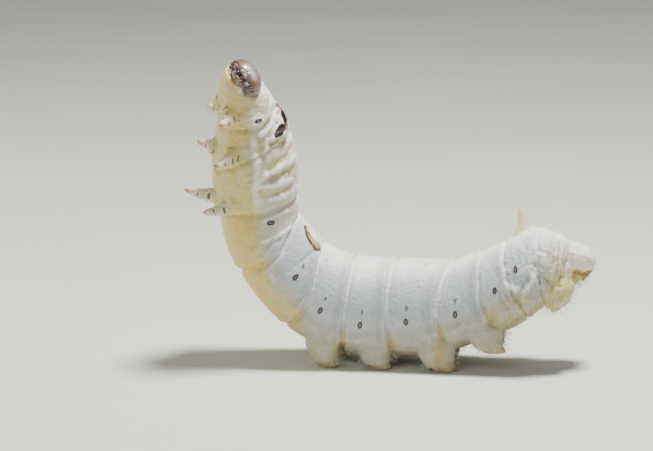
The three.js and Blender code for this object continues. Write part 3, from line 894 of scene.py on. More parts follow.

# %% Leg rings, warm places, painted shade on the low sides, tail end and feet
soft_broken = soft.step(soft.noise(1000.0, 1.0), 0.52, 0.57)
soft.cover(soft.step(soft.read("leg_ring"), 0.3, 0.7) * soft_broken * 0.9, LEG_RING_BROWN)
soft.cover(soft.step(frayed(soft_warm, soft_cloud, 0.8), 0.0, 1.25) * 0.85, SKIN_YELLOW)
soft_under = soft.step(frayed(soft_turn, soft_cloud, 20), 134.0, 158.0) * soft.step(soft_along, 5.5, 7.0)
soft_hot = soft.step(soft_warm, 0.45, 1.2) * soft.step(soft_along, 5.5, 8.0)
soft_orange = soft.math("MINIMUM", soft_under * 0.5 + soft_hot * 0.8, 1.0)
soft.cover(soft_orange * soft.step(soft_cloud, 0.25, 0.75), SKIN_ORANGE)
# Painted shade on the low sides of the abdomen, where the body turns away from the light above.
soft_low_shade = soft.step(frayed(soft_turn, soft_cloud, 30), 92.0, 125.0) * soft.step(soft_along, 4.5, 5.5)
soft.cover(soft_low_shade * 0.5, SKIN_LOW_SHADE)
soft_end = soft.step(frayed(soft_along, soft_cloud, 1.5), 11.0, 12.2) * soft.step(soft_turn, 20.0, 90.0)
soft.cover(soft_end * 0.7, SKIN_CREAM)
soft.cover(soft.step(frayed(soft.read("near_foot"), soft_cloud, 0.4), 0.25, 0.85) * 0.75, SKIN_FOOT)

# %% Fold lines, halos, specks and mottling
soft_to_fold = abs(soft_place - soft.math("ROUND", soft_place)) * SEGMENT_LENGTH
soft_line = (1 - soft.step(soft_to_fold, 0.05, 0.35)) * (1 - soft_limb)
soft.cover(soft_line * (1 - soft.step(soft_turn, 95.0, 125.0)) * 0.6, SKIN_WHITE)
soft.cover(soft_line * soft.step(soft_turn, 100.0, 130.0) * 0.4, SKIN_YELLOW)
soft_behind_first = soft.step(soft_along, 1.4, 2.0)
soft.cover(soft_halo * (1 - soft_behind_first) * 0.9, HALO_WHITE)
soft.cover(soft_halo * soft_behind_first * 0.35, HALO_GREY)
soft_specks = soft.step(soft.noise(1700.0, 1.0), 0.69, 0.74) * soft.step(soft_along, 3.4, 4.4)
soft.cover(soft_specks * (1 - soft_belly) * 0.6, SPECK_GREY)
soft_mottle = soft.step(soft.noise(1150.0, 3.0), 0.50, 0.66) * soft.step(soft_turn, 40.0, 80.0)
soft.cover(soft_mottle * 0.28, MOTTLE_GREY)

# %% [markdown]
# ## The marks
# Two large eye marks lie behind the head, two crescents on the second ring of the abdomen and two faint
# stars farther back. They could be painted on a map, but a formula stays crisp at any distance. Each mark is
# a set of ellipses in millimetres around a centre on the back, painted one over another: a large one first,
# and then what covers a part of it.

# %% The marks on the back
# Each mark: centre along and in degrees, then its ellipses: offset tailward and away from the back's middle,
# half sizes in millimetres, and colour.
BROWN_BLACK = paint(0.016, 0.010, 0.009)
RED_BROWN = paint(0.22, 0.10, 0.05)
TAN = paint(0.52, 0.34, 0.16)
MARKS = {
    "eye_mark": (1.40, 47, 0.083, (
        (-0.45, -0.55, 1.75, 2.25, RED_BROWN),
        (-0.85, 0.42, 1.42, 1.82, SKIN_WHITE),
        (-0.08, -1.00, 0.55, 0.80, BROWN_BLACK),
        (0.32, -0.80, 0.42, 0.95, BROWN_BLACK),
        (0.42, 1.00, 0.50, 0.70, BROWN_BLACK),
        (0.52, 1.50, 0.55, 0.60, BROWN_BLACK),
        (0.55, 2.00, 0.36, 0.45, BROWN_BLACK),
        (0.58, 0.15, 0.14, 0.85, BROWN_BLACK),
        (0.22, 0.15, 0.24, 0.22, paint(0.80, 0.70, 0.45)),
        (-1.30, -0.15, 0.20, 0.22, paint(0.25, 0.24, 0.22)),
        (-0.62, 1.05, 0.20, 0.22, paint(0.25, 0.24, 0.22)),
        (-0.95, -0.95, 0.35, 0.28, paint(0.45, 0.36, 0.25)),
    )),
    "crescent": (4.62, 34, 0.095, (
        (0.00, 0.05, 1.75, 1.10, paint(0.07, 0.04, 0.02)),
        (0.05, -0.18, 1.45, 0.82, TAN),
        (-0.10, -0.80, 1.10, 0.62, SKIN_WHITE),
        (0.55, -0.10, 0.45, 0.22, paint(0.62, 0.45, 0.26)),
        (-0.75, 0.15, 0.30, 0.22, paint(0.20, 0.12, 0.06)),
    )),
    "star": (7.60, 21, 0.095, (
        (0.0, 0.0, 0.55, 0.10, paint(0.62, 0.50, 0.16)),
        (0.0, 0.0, 0.10, 0.45, paint(0.62, 0.50, 0.16)),
    )),
}
MARK_SEGMENT_LENGTH = 5.8
DRIFT = 0.45
soft_drift_tail = (soft.noise(1500.0, 2.0) - 0.5) * DRIFT
soft_drift_side = (soft.noise(1300.0, 2.0) - 0.5) * DRIFT
for mark_along, mark_turn, degree_length, ellipses in MARKS.values():
    tailward = (soft_along - mark_along) * MARK_SEGMENT_LENGTH + soft_drift_tail
    outward = (soft_turn - mark_turn) * degree_length + soft_drift_side
    for off_tail, off_side, half_tail, half_side, tint in ellipses:
        reach = ((tailward - off_tail) / half_tail) ** 2 + ((outward - off_side) / half_side) ** 2
        soft.cover(1 - soft.step(reach, 0.80, 1.25), tint)

# A small dark mark lies above each breathing hole of the abdomen, apart from the last two and the first.
ABOVE_DEGREES = 17
ABOVE_BLACK = paint(0.10, 0.09, 0.09)
for hole_along, hole_turn in SPIRACLES[2:7]:
    tailward = (soft_along - hole_along - 0.02) * SEGMENT_LENGTH + soft_drift_tail
    outward = (soft_turn - hole_turn + ABOVE_DEGREES) * DEGREE_LENGTH + soft_drift_side
    reach = (tailward / 0.16) ** 2 + (outward / 0.30) ** 2
    soft.cover((1 - soft.step(reach, 0.6, 1.4)) * 0.75, ABOVE_BLACK)
soft.set("Base Color", soft.colour)
soft.set("Roughness", 0.34 + 0.24 * soft_fine)
print("marks:", ", ".join(MARKS))

# %% Fine relief of the skin
# Fine rings run round the hind part of each abdominal segment, and small pores roughen the whole skin.
FINE_RING_TURNS = 95
soft_within = soft_place - soft.math("FLOOR", soft_place)
soft_hind = soft.step(soft_within, 0.60, 0.78) * soft.step(soft_along, 3.6, 4.6)
soft_hind = soft_hind * (1 - soft.step(soft_along, 9.6, 10.4))
soft_hind = soft_hind * (1 - soft_limb) * (1 - soft.step(soft_turn, 112.0, 128.0))
soft_rings = soft.math("SINE", (soft_place * FINE_RING_TURNS) + soft_cloud * 9)
soft_creases = soft.node("ShaderNodeTexVoronoi", {"feature": "DISTANCE_TO_EDGE"}, {
    "Vector": soft.place(), "Scale": 1150.0})
soft.bump(soft_fine * 0.5 + soft.noise(900.0, 2.0) * 0.7 + soft_rings * soft_hind * 0.55
          + soft.step(soft_creases, 0.0, 0.25) * 0.35, 0.11, 0.85)

SIDES = {"left": 1, "right": -1}
SEGMENTS = ["prothorax", "mesothorax", "metathorax"] + [f"abdomen_{i}" for i in range(1, 10)]
PROLEG_NODES = [f"proleg_{i}_{side}" for i in PROLEGS for side in SIDES]
dress(skin, soft, "skin", *SEGMENTS, "anal_segment", *PROLEG_NODES, "anal_proleg_left", "anal_proleg_right")
print("solids under the skin:", len(SEGMENTS) + 1 + len(PROLEG_NODES) + 2)

# %% [markdown]
# ## The head
# The head is a hard shell of two rounded cheeks that meet in a seam on the crown. Below the crown the seam
# forks around a small triangular plate, the frons. Under it hang the upper lip and the jaws, and a pale
# fleshy lower lip with a thin tube for the silk. The shell is one grid over a sphere, because every groove
# on it can then be written as a function of direction. The head has its own directions: its left, its brow
# and the way it faces.

# %% The head's own directions
HEAD_SIZES = (2.4, 1.95, 2.05)
HEAD_AHEAD = 0.65
HEAD_SHIFT = Vector((0.05, 0, -0.5))
forward = Vector((0.04, -0.86, 0.5)).normalized()
brow = Vector((0.87, 0.1, 0.48))
brow = (brow - forward * brow.dot(forward)).normalized()
head_left = brow.cross(forward)
neck_middle, _, _, neck_tail, _ = frame_at(0)
head_centre = neck_middle - neck_tail * HEAD_AHEAD + HEAD_SHIFT
print("head centre, mm:", [round(c, 1) for c in head_centre])


def head_point(left, up, ahead):
    """A point given in millimetres in the head's own directions."""
    return head_centre + head_left * left + brow * up + forward * ahead


def groove(distance, half_width):
    return math.exp(-((distance / half_width) ** 2))


# %% The head shell
FORK_UP = 0.2
FORK_SLOPE = 1.12
SHELL_ROWS = 90
SHELL_SIDES = 128
SHELL_UNEVEN = 0.02


def shell_radius(left, up, ahead):
    """Length of the shell's radius along a direction of unit length, before its three half sizes."""
    cheek = 1 + 0.10 * abs(left) ** 1.5 * (1 - 0.3 * abs(up))
    fork = max(0.0, FORK_UP - up) * FORK_SLOPE
    seam = groove(abs(left) - (fork if ahead > 0.2 and -0.2 < up < FORK_UP else 0.0), 0.05)
    crown = 0.03 * seam * (1 if up > -0.2 else 0) * (1 if ahead > -0.6 else 0)
    frons = 0.02 * groove(left, 0.22) * groove(up, 0.3) * (ahead > 0)
    mouth = 0.10 * groove(left, 0.42) * groove(up + 0.42, 0.30) * (ahead > 0)
    return cheek - crown - frons - mouth


def head_shell():
    """Rings from the back of the head to its face."""
    rings = []
    for row in range(SHELL_ROWS + 1):
        polar = math.pi * (0.01 + 0.98 * row / SHELL_ROWS)
        one = []
        for i in range(SHELL_SIDES):
            round_turn = 2 * math.pi * i / SHELL_SIDES
            left = math.sin(polar) * math.cos(round_turn)
            up = math.sin(polar) * math.sin(round_turn)
            ahead = math.cos(polar)
            uneven = SHELL_UNEVEN * noise.noise(Vector((left, up, ahead)) * 4.5)
            size = shell_radius(left, up, ahead) + uneven
            one.append(head_point(*(way * half * size for way, half in zip((left, up, ahead), HEAD_SIZES))))
        rings.append(one)
    return loft(rings)


shell = merge("head_shell", [head_shell()])
local = points_of(shell.data) - np.array(head_centre)
keep_attribute(shell.data, "side", np.abs(local @ np.array(head_left)))
keep_attribute(shell.data, "up", local @ np.array(brow))
keep_attribute(shell.data, "ahead", local @ np.array(forward))

# %% The shell's finish
# Each tint is laid where the distance from the seam (side), the height (up) or the reach ahead says.
hard = Finish("head_shell", Roughness=0.28, Coat_Weight=0.9, Coat_Roughness=0.10, IOR=1.5)
hard_side, hard_up, hard_ahead = (hard.read(name) for name in ("side", "up", "ahead"))
hard_cloud = hard.noise(900.0, 4.0)
hard_fine = hard.noise(3200.0, 3.0)
hard.colour = paint(0.085, 0.048, 0.040)
hard.cover(hard.step(hard_cloud, 0.35, 0.65), paint(0.20, 0.125, 0.11))
# The upper half is lighter: painted light falling on the shell from above.
hard.cover(hard.step(frayed(hard_up, hard_cloud, 1.2), 0.0, 0.9) * 0.5, paint(0.36, 0.26, 0.25))
# A pale painted highlight on the brow, standing for the sky's glare, and brown cheeks.
hard_middle = 1 - hard.step(frayed(hard_side, hard_fine, 0.8), 0.5, 1.5)
hard_painted_highlight = hard_middle * hard.step(frayed(hard_up, hard_fine, 0.6), 0.45, 0.8)
hard.cover(hard_painted_highlight * (1 - hard.step(hard_up, 1.0, 1.5)) * 0.5, paint(0.66, 0.58, 0.58))
hard.cover(hard.step(frayed(hard_side, hard_cloud, 0.9), 1.0, 1.9) * 0.85, paint(0.17, 0.080, 0.038))
# Painted shade round the mouth, in the gap behind the lip and jaws, and a dark patch round the eyes.
hard_mouth_shade = (1 - hard.step(hard_side, 0.45, 1.05)) * (1 - hard.step(abs(hard_up + 0.55), 0.25, 0.75))
hard.cover(hard_mouth_shade * hard.step(hard_ahead, 0.6, 1.2) * 0.92, paint(0.012, 0.008, 0.01))
hard_eye = 1 - hard.step(((hard_side - 1.80) / 0.58) ** 2 + ((hard_up + 0.45) / 0.60) ** 2, 0.6, 1.3)
hard.cover(hard_eye * hard.step(hard_ahead, 0.0, 0.4) * 0.65, paint(0.035, 0.018, 0.014))
# Dark in the seam and along its fork.
hard_seam = 1 - hard.step(hard_side, 0.03, 0.12)
hard.cover(hard_seam * hard.step(hard_up, 0.3, 0.6) * 0.25, paint(0.05, 0.03, 0.028))
hard_fork = 1 - hard.step(abs(hard_up - 0.36 + hard_side * 0.70), 0.06, 0.22)
hard_fork = hard_fork * (1 - hard.step(hard_side, 1.0, 1.25)) * hard.step(hard_ahead, 0.8, 1.2)
hard.cover(hard_fork * 0.9, paint(0.014, 0.009, 0.010))
hard.set("Base Color", hard.colour)
hard.set("Roughness", 0.22 + 0.2 * hard_fine)
hard.bump(hard_fine * 0.6 + hard_cloud * 0.5, 0.03, 0.6)
dress(shell, hard, "head_shell", "head_capsule")

# %% [markdown]
# ## Mouth, feelers and eyes
# These are the smallest parts of the head, and each is a short row of rings or a small egg. The upper lip
# is notched in the middle. The jaws are dark and toothed, and the pale lower lip carries a pair of jointed
# palps on each side of the silk tube. Each feeler is three pale joints with a dark ring and a bristle.
# Six simple eyes lie in an arc on each cheek.

# %% Upper lip and jaws
HEAD_AXES = (head_left, brow, forward)
TEETH = 4
lip_finish = mottled("lip_shell", 1500.0, paint(0.16, 0.11, 0.10), paint(0.42, 0.34, 0.32),
                     Roughness=0.3, Coat_Weight=0.5, Coat_Roughness=0.15)
jaw_finish = mottled("dark_horn", 2500.0, paint(0.02, 0.012, 0.01), paint(0.06, 0.03, 0.02),
                     Roughness=0.25, Coat_Weight=0.4)


def head_egg(place, sizes, rows=12, sides=20):
    """An egg at a place of the head, on the head's own directions."""
    return egg(head_point(*place), HEAD_AXES, sizes, rows, sides)


lip_lobes = [head_egg((side * 0.30, -0.10, 2.0), (0.40, 0.31, 0.38)) for side in SIDES.values()]
lip = merge("upper_lip", lip_lobes + [head_egg((0, 0.12, 1.95), (0.55, 0.22, 0.36))])
dress(lip, lip_finish, "head_shell", "labrum")

for name, side in SIDES.items():
    forms = [head_egg((side * 0.48, -0.6, 1.88), (0.36, 0.24, 0.42))]
    for tooth in range(TEETH):
        across = side * (0.16 + 0.15 * tooth)
        root = head_point(across, -0.52 - 0.03 * tooth, 2.12)
        tip = head_point(across * 0.75, -0.60 - 0.04 * tooth, 2.36 - 0.03 * tooth)
        forms.append(loft([ring(root, tip - root, brow, 0.10, 0.08, 8),
                           ring(tip, tip - root, brow, 0.02, 0.02, 8)]))
    dress(merge(f"jaw_{name}", forms), jaw_finish, "mandible", f"mandible_{name}")
print("teeth on each jaw:", TEETH)

# %% Lower lip with palps and silk tube
# Distance along each stalk and radius there, in millimetres.
PALP_STEPS = ((-0.3, 0.20), (0.12, 0.19), (0.15, 0.14), (0.32, 0.13), (0.35, 0.08), (0.48, 0.05))
SILK_TUBE_STEPS = ((-0.2, 0.16), (0.2, 0.13), (0.5, 0.07), (0.6, 0.04))


def joints(start, way, side, steps, sides=14):
    """A short jointed stalk."""
    way = Vector(way).normalized()
    start = Vector(start)
    return loft([ring(start + way * ahead, way, side, radius, radius, sides) for ahead, radius in steps])


small_palp = [(ahead * 0.5, radius * 0.5) for ahead, radius in PALP_STEPS]
lower = [head_egg((0, -1.08, 1.70), (0.62, 0.42, 0.50))]
for side in SIDES.values():
    palp_way = forward + head_left * 0.2 * side - brow * 0.1
    lower.append(head_egg((side * 0.66, -0.98, 1.66), (0.40, 0.36, 0.46)))
    lower.append(joints(head_point(side * 0.64, -0.90, 2.0), palp_way, head_left, PALP_STEPS))
    lower.append(joints(head_point(side * 0.22, -1.02, 2.08), forward, head_left, small_palp))
lower.append(joints(head_point(0, -1.08, 2.0), forward, head_left, SILK_TUBE_STEPS))
flesh = Finish("mouth_flesh", Roughness=0.4, Subsurface_Weight=0.15, Subsurface_Scale=0.0004)
flesh_cloud = flesh.noise(2200.0)
flesh.set("Base Color", flesh.mix(flesh.step(flesh_cloud, 0.4, 0.62), paint(0.14, 0.09, 0.07),
                                  paint(0.38, 0.27, 0.18)))
flesh.bump(flesh_cloud, 0.03)
dress(merge("lower_lip", lower), flesh, "mouth_skin", "labium")
print("forms of the lower lip:", len(lower))

# %% Feelers
FEELER_STEPS = ((-0.3, 0.33), (0.04, 0.31), (0.07, 0.33), (0.28, 0.27), (0.31, 0.20), (0.36, 0.215),
                (0.6, 0.19), (0.64, 0.12), (0.86, 0.10), (0.9, 0.05))
BRISTLE_STEPS = ((0, 0.02), (0.9, 0.008))
feeler_finish = Finish("feeler_pale", Roughness=0.35, Subsurface_Weight=0.1, Subsurface_Scale=0.0003)
for name, side in SIDES.items():
    way = (forward + head_left * 0.45 * side).normalized()
    root = head_point(side * 1.2, -0.42, 1.62)
    feeler = merge(f"feeler_{name}", [
        joints(root, way, head_left, FEELER_STEPS, 20),
        joints(root + way * 0.6, way + brow * 0.2, head_left, BRISTLE_STEPS, 6)])
    keep_attribute(feeler.data, "reach", (points_of(feeler.data) - np.array(root)) @ np.array(way))
    dress(feeler, feeler_finish, "mouth_skin", f"antenna_{name}")
feeler_reach = feeler_finish.read("reach")
ringed = feeler_finish.step(feeler_reach, 0.24, 0.28) * (1 - feeler_finish.step(feeler_reach, 0.33, 0.36))
feeler_finish.set("Base Color", feeler_finish.mix(ringed, paint(0.34, 0.26, 0.22), paint(0.06, 0.035, 0.03)))

# %% Simple eyes
EYE_PLACE = (1.80, -0.45, 1.15)
EYE_ARC = 0.46
EYE_DOME = 0.15
EYE_TURNS = range(-120, 121, 48)
eye_finish = mottled("eye_glass", 3000.0, paint(0.01, 0.008, 0.008), paint(0.05, 0.03, 0.02),
                     Roughness=0.08, Coat_Weight=1.0)


def on_shell(left, up, ahead):
    """The shell's point in the direction of a place given in millimetres, and the way out of it there."""
    way = Vector((left / HEAD_SIZES[0], up / HEAD_SIZES[1], ahead / HEAD_SIZES[2])).normalized()
    size = shell_radius(*way)
    point = head_point(*(share * half * size for share, half in zip(way, HEAD_SIZES)))
    out = (head_left * (way.x / HEAD_SIZES[0]) + brow * (way.y / HEAD_SIZES[1])
           + forward * (way.z / HEAD_SIZES[2]))
    return point, out.normalized()


for name, side in SIDES.items():
    domes = []
    for degrees in EYE_TURNS:
        around = math.radians(degrees)
        spot, out = on_shell(side * (EYE_PLACE[0] - EYE_ARC * 0.8 * math.cos(around)),
                             EYE_PLACE[1] + EYE_ARC * math.sin(around),
                             EYE_PLACE[2] + EYE_ARC * 0.8 * math.cos(around))
        domes.append(egg(spot + out * 0.02, (brow, out.cross(brow), out),
                         (EYE_DOME, EYE_DOME, EYE_DOME * 0.8), 12, 18))
    dress(merge(f"eyes_{name}", domes), eye_finish, "eye", f"eye_{name}")
print("simple eyes on each side:", len(domes))

# %% [markdown]
# ## Legs, horn and breathing holes
# The six jointed legs of the thorax are hard and pale, with dark edges at the joints and a curved claw. The
# tail horn is a soft cone rooted in the skin. Each breathing hole is a dark oval rim around a grey plate
# with a slit, half sunk into the skin.

# %% The legs' finish
leg_finish = Finish("leg_shell", Roughness=0.38, Subsurface_Weight=0.15, Subsurface_Scale=0.0004)
leg_share = leg_finish.read("share")
leg_turn = leg_finish.read("turn")
leg_cloud = leg_finish.noise(1300.0)
leg_finish.colour = leg_finish.mix(leg_finish.step(leg_cloud, 0.3, 0.7), paint(0.68, 0.57, 0.32),
                                   paint(0.78, 0.71, 0.54))
# A broken dark band at each joint: share of the way along the leg and half width.
for joint, half in ((0.45, 0.035), (0.70, 0.018)):
    from_joint = abs(frayed(leg_share, leg_cloud, 0.05) - joint)
    band = 1 - leg_finish.step(from_joint, half * 0.6, half * 1.3)
    gaps = leg_finish.step(leg_finish.math("SINE", leg_turn * 3 + leg_cloud * 6), -0.2, 0.4)
    leg_finish.cover(band * gaps * 0.9, paint(0.07, 0.045, 0.035))
leg_finish.cover(leg_finish.step(leg_share, 0.84, 0.96) * 0.75, paint(0.42, 0.19, 0.06))
leg_finish.set("Base Color", leg_finish.colour)
leg_finish.bump(leg_cloud, 0.04)

# %% Jointed legs and their claws
LEG_RADIUS = 0.85
LEG_SIDES = 28
# Share of the way and thickness there. The joints bulge a little where one length enters the next.
LEG_STEPS = ((0.0, 1.15), (0.34, 1.08), (0.47, 1.02), (0.50, 0.94), (0.53, 0.80), (0.56, 0.84), (0.66, 0.78),
             (0.69, 0.72), (0.71, 0.61), (0.74, 0.66), (0.84, 0.55), (0.88, 0.46), (0.93, 0.34), (0.96, 0.2))
claws = []
leg_lines = []
for number, (leg_along, *tips) in LEGS.items():
    for (name, side), tip in zip(SIDES.items(), tips):
        root, _, tail = body_point(leg_along, side * LEG_ANGLE, -1.4)
        way = Vector(tip) - root
        bend = tail * 0.25
        rings = []
        for share, size in LEG_STEPS:
            centre = root + way * share + bend * math.sin(math.pi * share)
            rings.append(ring(centre, way, tail, LEG_RADIUS * size, LEG_RADIUS * size * 0.92, LEG_SIDES))
        leg = merge(f"leg_{number}_{name}_shell", [loft(rings)])
        leg_turns = np.arange(LEG_SIDES) * 2 * np.pi / LEG_SIDES
        keep_attribute(leg.data, "share", np.repeat([share for share, _ in LEG_STEPS], LEG_SIDES))
        keep_attribute(leg.data, "turn", np.tile(leg_turns, len(LEG_STEPS)))
        dress(leg, leg_finish, "leg", f"leg_{number}_{name}")
        start = root + way * 0.88 + bend * 0.3
        end = Vector(tip)
        mid = start.lerp(end, 0.55) - tail * 0.12
        claws.append(loft([ring(start, way, tail, 0.17, 0.14, 12),
                           ring(mid, end - start, tail, 0.10, 0.09, 12),
                           ring(end, end - mid, tail, 0.02, 0.02, 12)]))
        leg_lines.append((root, way))
dress(merge("leg_claws", claws), jaw_finish, "mandible")
print("legs:", len(leg_lines))

# %% Tail horn
HORN_ALONG = 10.66
HORN_TIP = Vector((15.9, -1.7, 20.4))
HORN_RADIUS = 1.02
HORN_CURVE = 0.22
# Share of the way from inside the body to the tip, and thickness there.
HORN_STEPS = ((0, 1.4), (0.36, 1.28), (0.44, 1.02), (0.5, 0.84), (0.58, 0.68), (0.66, 0.54), (0.74, 0.42),
              (0.82, 0.31), (0.89, 0.21), (0.95, 0.13), (0.985, 0.07), (1, 0.02))
horn_root, _, horn_tail = body_point(HORN_ALONG, 0, -2)
horn_way = HORN_TIP - horn_root
rings = []
for share, size in HORN_STEPS:
    centre = horn_root + horn_way * share + horn_tail * (HORN_CURVE * math.sin(math.pi * share))
    rings.append(ring(centre, horn_way, horn_tail, HORN_RADIUS * size, HORN_RADIUS * size * 0.9, 32, 0.02,
                      share * 40))
horn_finish = mottled("horn_soft", 2600.0, paint(0.72, 0.61, 0.35), paint(0.84, 0.76, 0.54), 0.06,
                      Roughness=0.5, Subsurface_Weight=0.4, Subsurface_Scale=0.0008)
dress(merge("horn", [loft(rings)]), horn_finish, "horn", "caudal_horn")
print("horn, mm:", round(horn_way.length, 1))

# %% Breathing holes
SPIRACLE_LENGTH = 1.02
SPIRACLE_WIDTH = 0.60
RIM_INSET = 0.10
RIM_STEPS = 28
RIM_SIDES = 10
RIM_HALF_WIDTH = 0.105
RIM_HALF_HEIGHT = 0.075
NEAR_POINTS = 24
skin_normals = normals_of(skin.data)


def skin_spot(hole_along, hole_turn):
    """The skin's point, outward way and tail way nearest to a place given by the body numbers."""
    guess, _, tail = body_point(hole_along, hole_turn)
    nearest = np.argsort(np.linalg.norm(points - np.array(guess), axis=1))[:NEAR_POINTS]
    out = Vector(skin_normals[nearest].mean(0)).normalized()
    return Vector(points[nearest].mean(0)) + out * 0.03, out, tail


def rim(spot, out, long_way, wide_way, size):
    """An oval ring of oval section, half sunk into the skin."""
    ring_points = []
    for i in range(RIM_STEPS):
        around = 2 * math.pi * i / RIM_STEPS
        here = (long_way * (math.sin(around) * (SPIRACLE_LENGTH / 2 - RIM_INSET))
                + wide_way * (math.cos(around) * (SPIRACLE_WIDTH / 2 - RIM_INSET))) * size
        centre = spot + here + out * 0.02
        way = here.normalized()
        for j in range(RIM_SIDES):
            roll = 2 * math.pi * j / RIM_SIDES
            ring_points.append(centre + way * (RIM_HALF_WIDTH * math.cos(roll))
                               + out * (RIM_HALF_HEIGHT * math.sin(roll)))
    faces = []
    for i in range(RIM_STEPS):
        for j in range(RIM_SIDES):
            here = i * RIM_SIDES
            ahead = (i + 1) % RIM_STEPS * RIM_SIDES
            beside = (j + 1) % RIM_SIDES
            faces.append([here + j, here + beside, ahead + beside, ahead + j])
    return ring_points, faces


rims = []
plates = []
for hole_along, hole_turn in SPIRACLES:
    for side in SIDES.values():
        spot, out, tail = skin_spot(hole_along, side * hole_turn)
        lean = tail * (0.25 if hole_along < 3 else 0.12)
        long_way = (out.cross(tail).normalized() * side + lean).normalized()
        wide_way = out.cross(long_way).normalized()
        size = 0.85 if hole_along > 9 else 1.0
        rims.append(rim(spot, out, long_way, wide_way, size))
        for half in (1, -1):
            middle = spot + wide_way * (half * 0.055 * size) + out * 0.015
            plates.append(egg(middle, (long_way, wide_way, out), (0.36 * size, 0.075 * size, 0.035), 8, 16))
dress(merge("spiracle_rims", rims), jaw_finish, "mandible")
plate_finish = mottled("spiracle_plate", 4000.0, paint(0.10, 0.10, 0.11), paint(0.20, 0.20, 0.21),
                       Roughness=0.6)
dress(merge("spiracle_plates", plates), plate_finish, "skin")
print("breathing holes:", len(rims))

# %% [markdown]
# ## Hooks and hairs
# Each foot ends in an arc of tiny brown hooks, the crochets. Short pale hairs stand on the skin, thickly
# round the feet and the legs and thinly elsewhere. Both are one thin spike set many times, so Geometry
# Nodes place them: points carry the direction and length, and the tree puts a bent spike on each point.
# The instances are then made real, and each hair gets a small patch of the map at its root's place.


# %% A tree that sets spikes on points
def spike_tree(name, sides):
    tree = bpy.data.node_groups.new(name, "GeometryNodeTree")
    tree.interface.new_socket("Geometry", in_out="INPUT", socket_type="NodeSocketGeometry")
    for label, value in (("Thickness", 0.03), ("Bend", 0.25)):
        made = tree.interface.new_socket(label, in_out="INPUT", socket_type="NodeSocketFloat")
        made.default_value = value
    tree.interface.new_socket("Finish", in_out="INPUT", socket_type="NodeSocketMaterial")
    tree.interface.new_socket("Geometry", in_out="OUTPUT", socket_type="NodeSocketGeometry")

    def node(kind, settings=None, inputs=None):
        made = tree.nodes.new(kind)
        for key, value in (settings or {}).items():
            setattr(made, key, value)
        for key, value in (inputs or {}).items():
            if isinstance(value, bpy.types.NodeSocket):
                tree.links.new(value, made.inputs[key])
            else:
                made.inputs[key].default_value = value
        return made

    # A thin cone of length 1, bent by a push that grows with the square of the height.
    entry = node("NodeGroupInput")
    cone = node("GeometryNodeMeshCone", {"fill_type": "NONE"}, {
        "Vertices": sides, "Side Segments": 4, "Radius Top": 0.02, "Depth": 1.0,
        "Radius Bottom": entry.outputs["Thickness"]})
    spot = node("GeometryNodeInputPosition")
    parts = node("ShaderNodeSeparateXYZ", {}, {0: spot.outputs[0]})
    times = {"operation": "MULTIPLY"}
    square = node("ShaderNodeMath", times, {0: parts.outputs[2], 1: parts.outputs[2]})
    shift = node("ShaderNodeMath", times, {0: square.outputs[0], 1: entry.outputs["Bend"]})
    offset = node("ShaderNodeCombineXYZ", {}, {0: shift.outputs[0]})
    bent = node("GeometryNodeSetPosition", {}, {
        "Geometry": cone.outputs["Mesh"], "Offset": offset.outputs[0]})

    # One spike on each point, spun at random and turned along the point's own way.
    dots = node("GeometryNodeMeshToPoints", {}, {"Mesh": entry.outputs["Geometry"]})
    way = node("GeometryNodeInputNamedAttribute", {"data_type": "FLOAT_VECTOR"}, {"Name": "way"})
    length = node("GeometryNodeInputNamedAttribute", {"data_type": "FLOAT"}, {"Name": "length"})
    spin = node("FunctionNodeRandomValue", {"data_type": "FLOAT"}, {"Seed": 7})
    spin_max = [socket for socket in spin.inputs if socket.name == "Max" and socket.type == "VALUE"][0]
    spin_max.default_value = 2 * math.pi
    spin_out = [socket for socket in spin.outputs if socket.type == "VALUE" and socket.enabled][0]
    turned = node("FunctionNodeAxisAngleToRotation", {}, {"Axis": (0, 0, 1), "Angle": spin_out})
    aim = node("FunctionNodeAlignRotationToVector", {"axis": "Z"}, {
        "Rotation": turned.outputs[0], "Vector": way.outputs["Attribute"]})
    size = node("ShaderNodeCombineXYZ", {}, {i: length.outputs["Attribute"] for i in range(3)})
    spikes_set = node("GeometryNodeInstanceOnPoints", {}, {
        "Points": dots.outputs[0], "Instance": bent.outputs[0], "Rotation": aim.outputs[0],
        "Scale": size.outputs[0]})
    real = node("GeometryNodeRealizeInstances", {}, {"Geometry": spikes_set.outputs[0]})
    done = node("GeometryNodeSetMaterial", {}, {
        "Geometry": real.outputs[0], "Material": entry.outputs["Finish"]})
    leave = node("NodeGroupOutput")
    tree.links.new(done.outputs[0], leave.inputs[0])
    return tree


# %% Spikes as one plain mesh
LOWEST_TIP = 0.02


def spikes(name, roots, ways, lengths, thickness, bend, finish, sides=4):
    """One mesh of spikes: roots in millimetres, ways of unit length and lengths in millimetres."""
    mesh = bpy.data.meshes.new(name)
    mesh.from_pydata([tuple(Vector(root) * MM) for root in roots], [], [])
    mesh.attributes.new("way", "FLOAT_VECTOR", "POINT").data.foreach_set(
        "vector", np.array([tuple(way) for way in ways], np.float32).ravel())
    mesh.attributes.new("length", "FLOAT", "POINT").data.foreach_set(
        "value", np.array(lengths, np.float32) * MM)
    rooted = bpy.data.objects.new(name, mesh)
    bpy.context.scene.collection.objects.link(rooted)
    modifier = rooted.modifiers.new("spikes", "NODES")
    modifier.node_group = spike_tree(name + "_tree", sides)
    values = {"Thickness": thickness, "Bend": bend, "Finish": finish.material}
    for item in modifier.node_group.interface.items_tree:
        if item.in_out == "INPUT" and item.name in values:
            modifier[item.identifier] = values[item.name]
    bpy.context.view_layer.update()
    made = bpy.data.meshes.new_from_object(rooted.evaluated_get(bpy.context.evaluated_depsgraph_get()))
    rooted.modifiers.clear()
    rooted.data = made
    # No spike reaches below the floor.
    tips = points_of(made)
    tips[:, 2] = np.maximum(tips[:, 2], LOWEST_TIP)
    made.vertices.foreach_set("co", (tips * MM).ravel())
    made.name = name
    for face in made.polygons:
        face.use_smooth = True
    return rooted


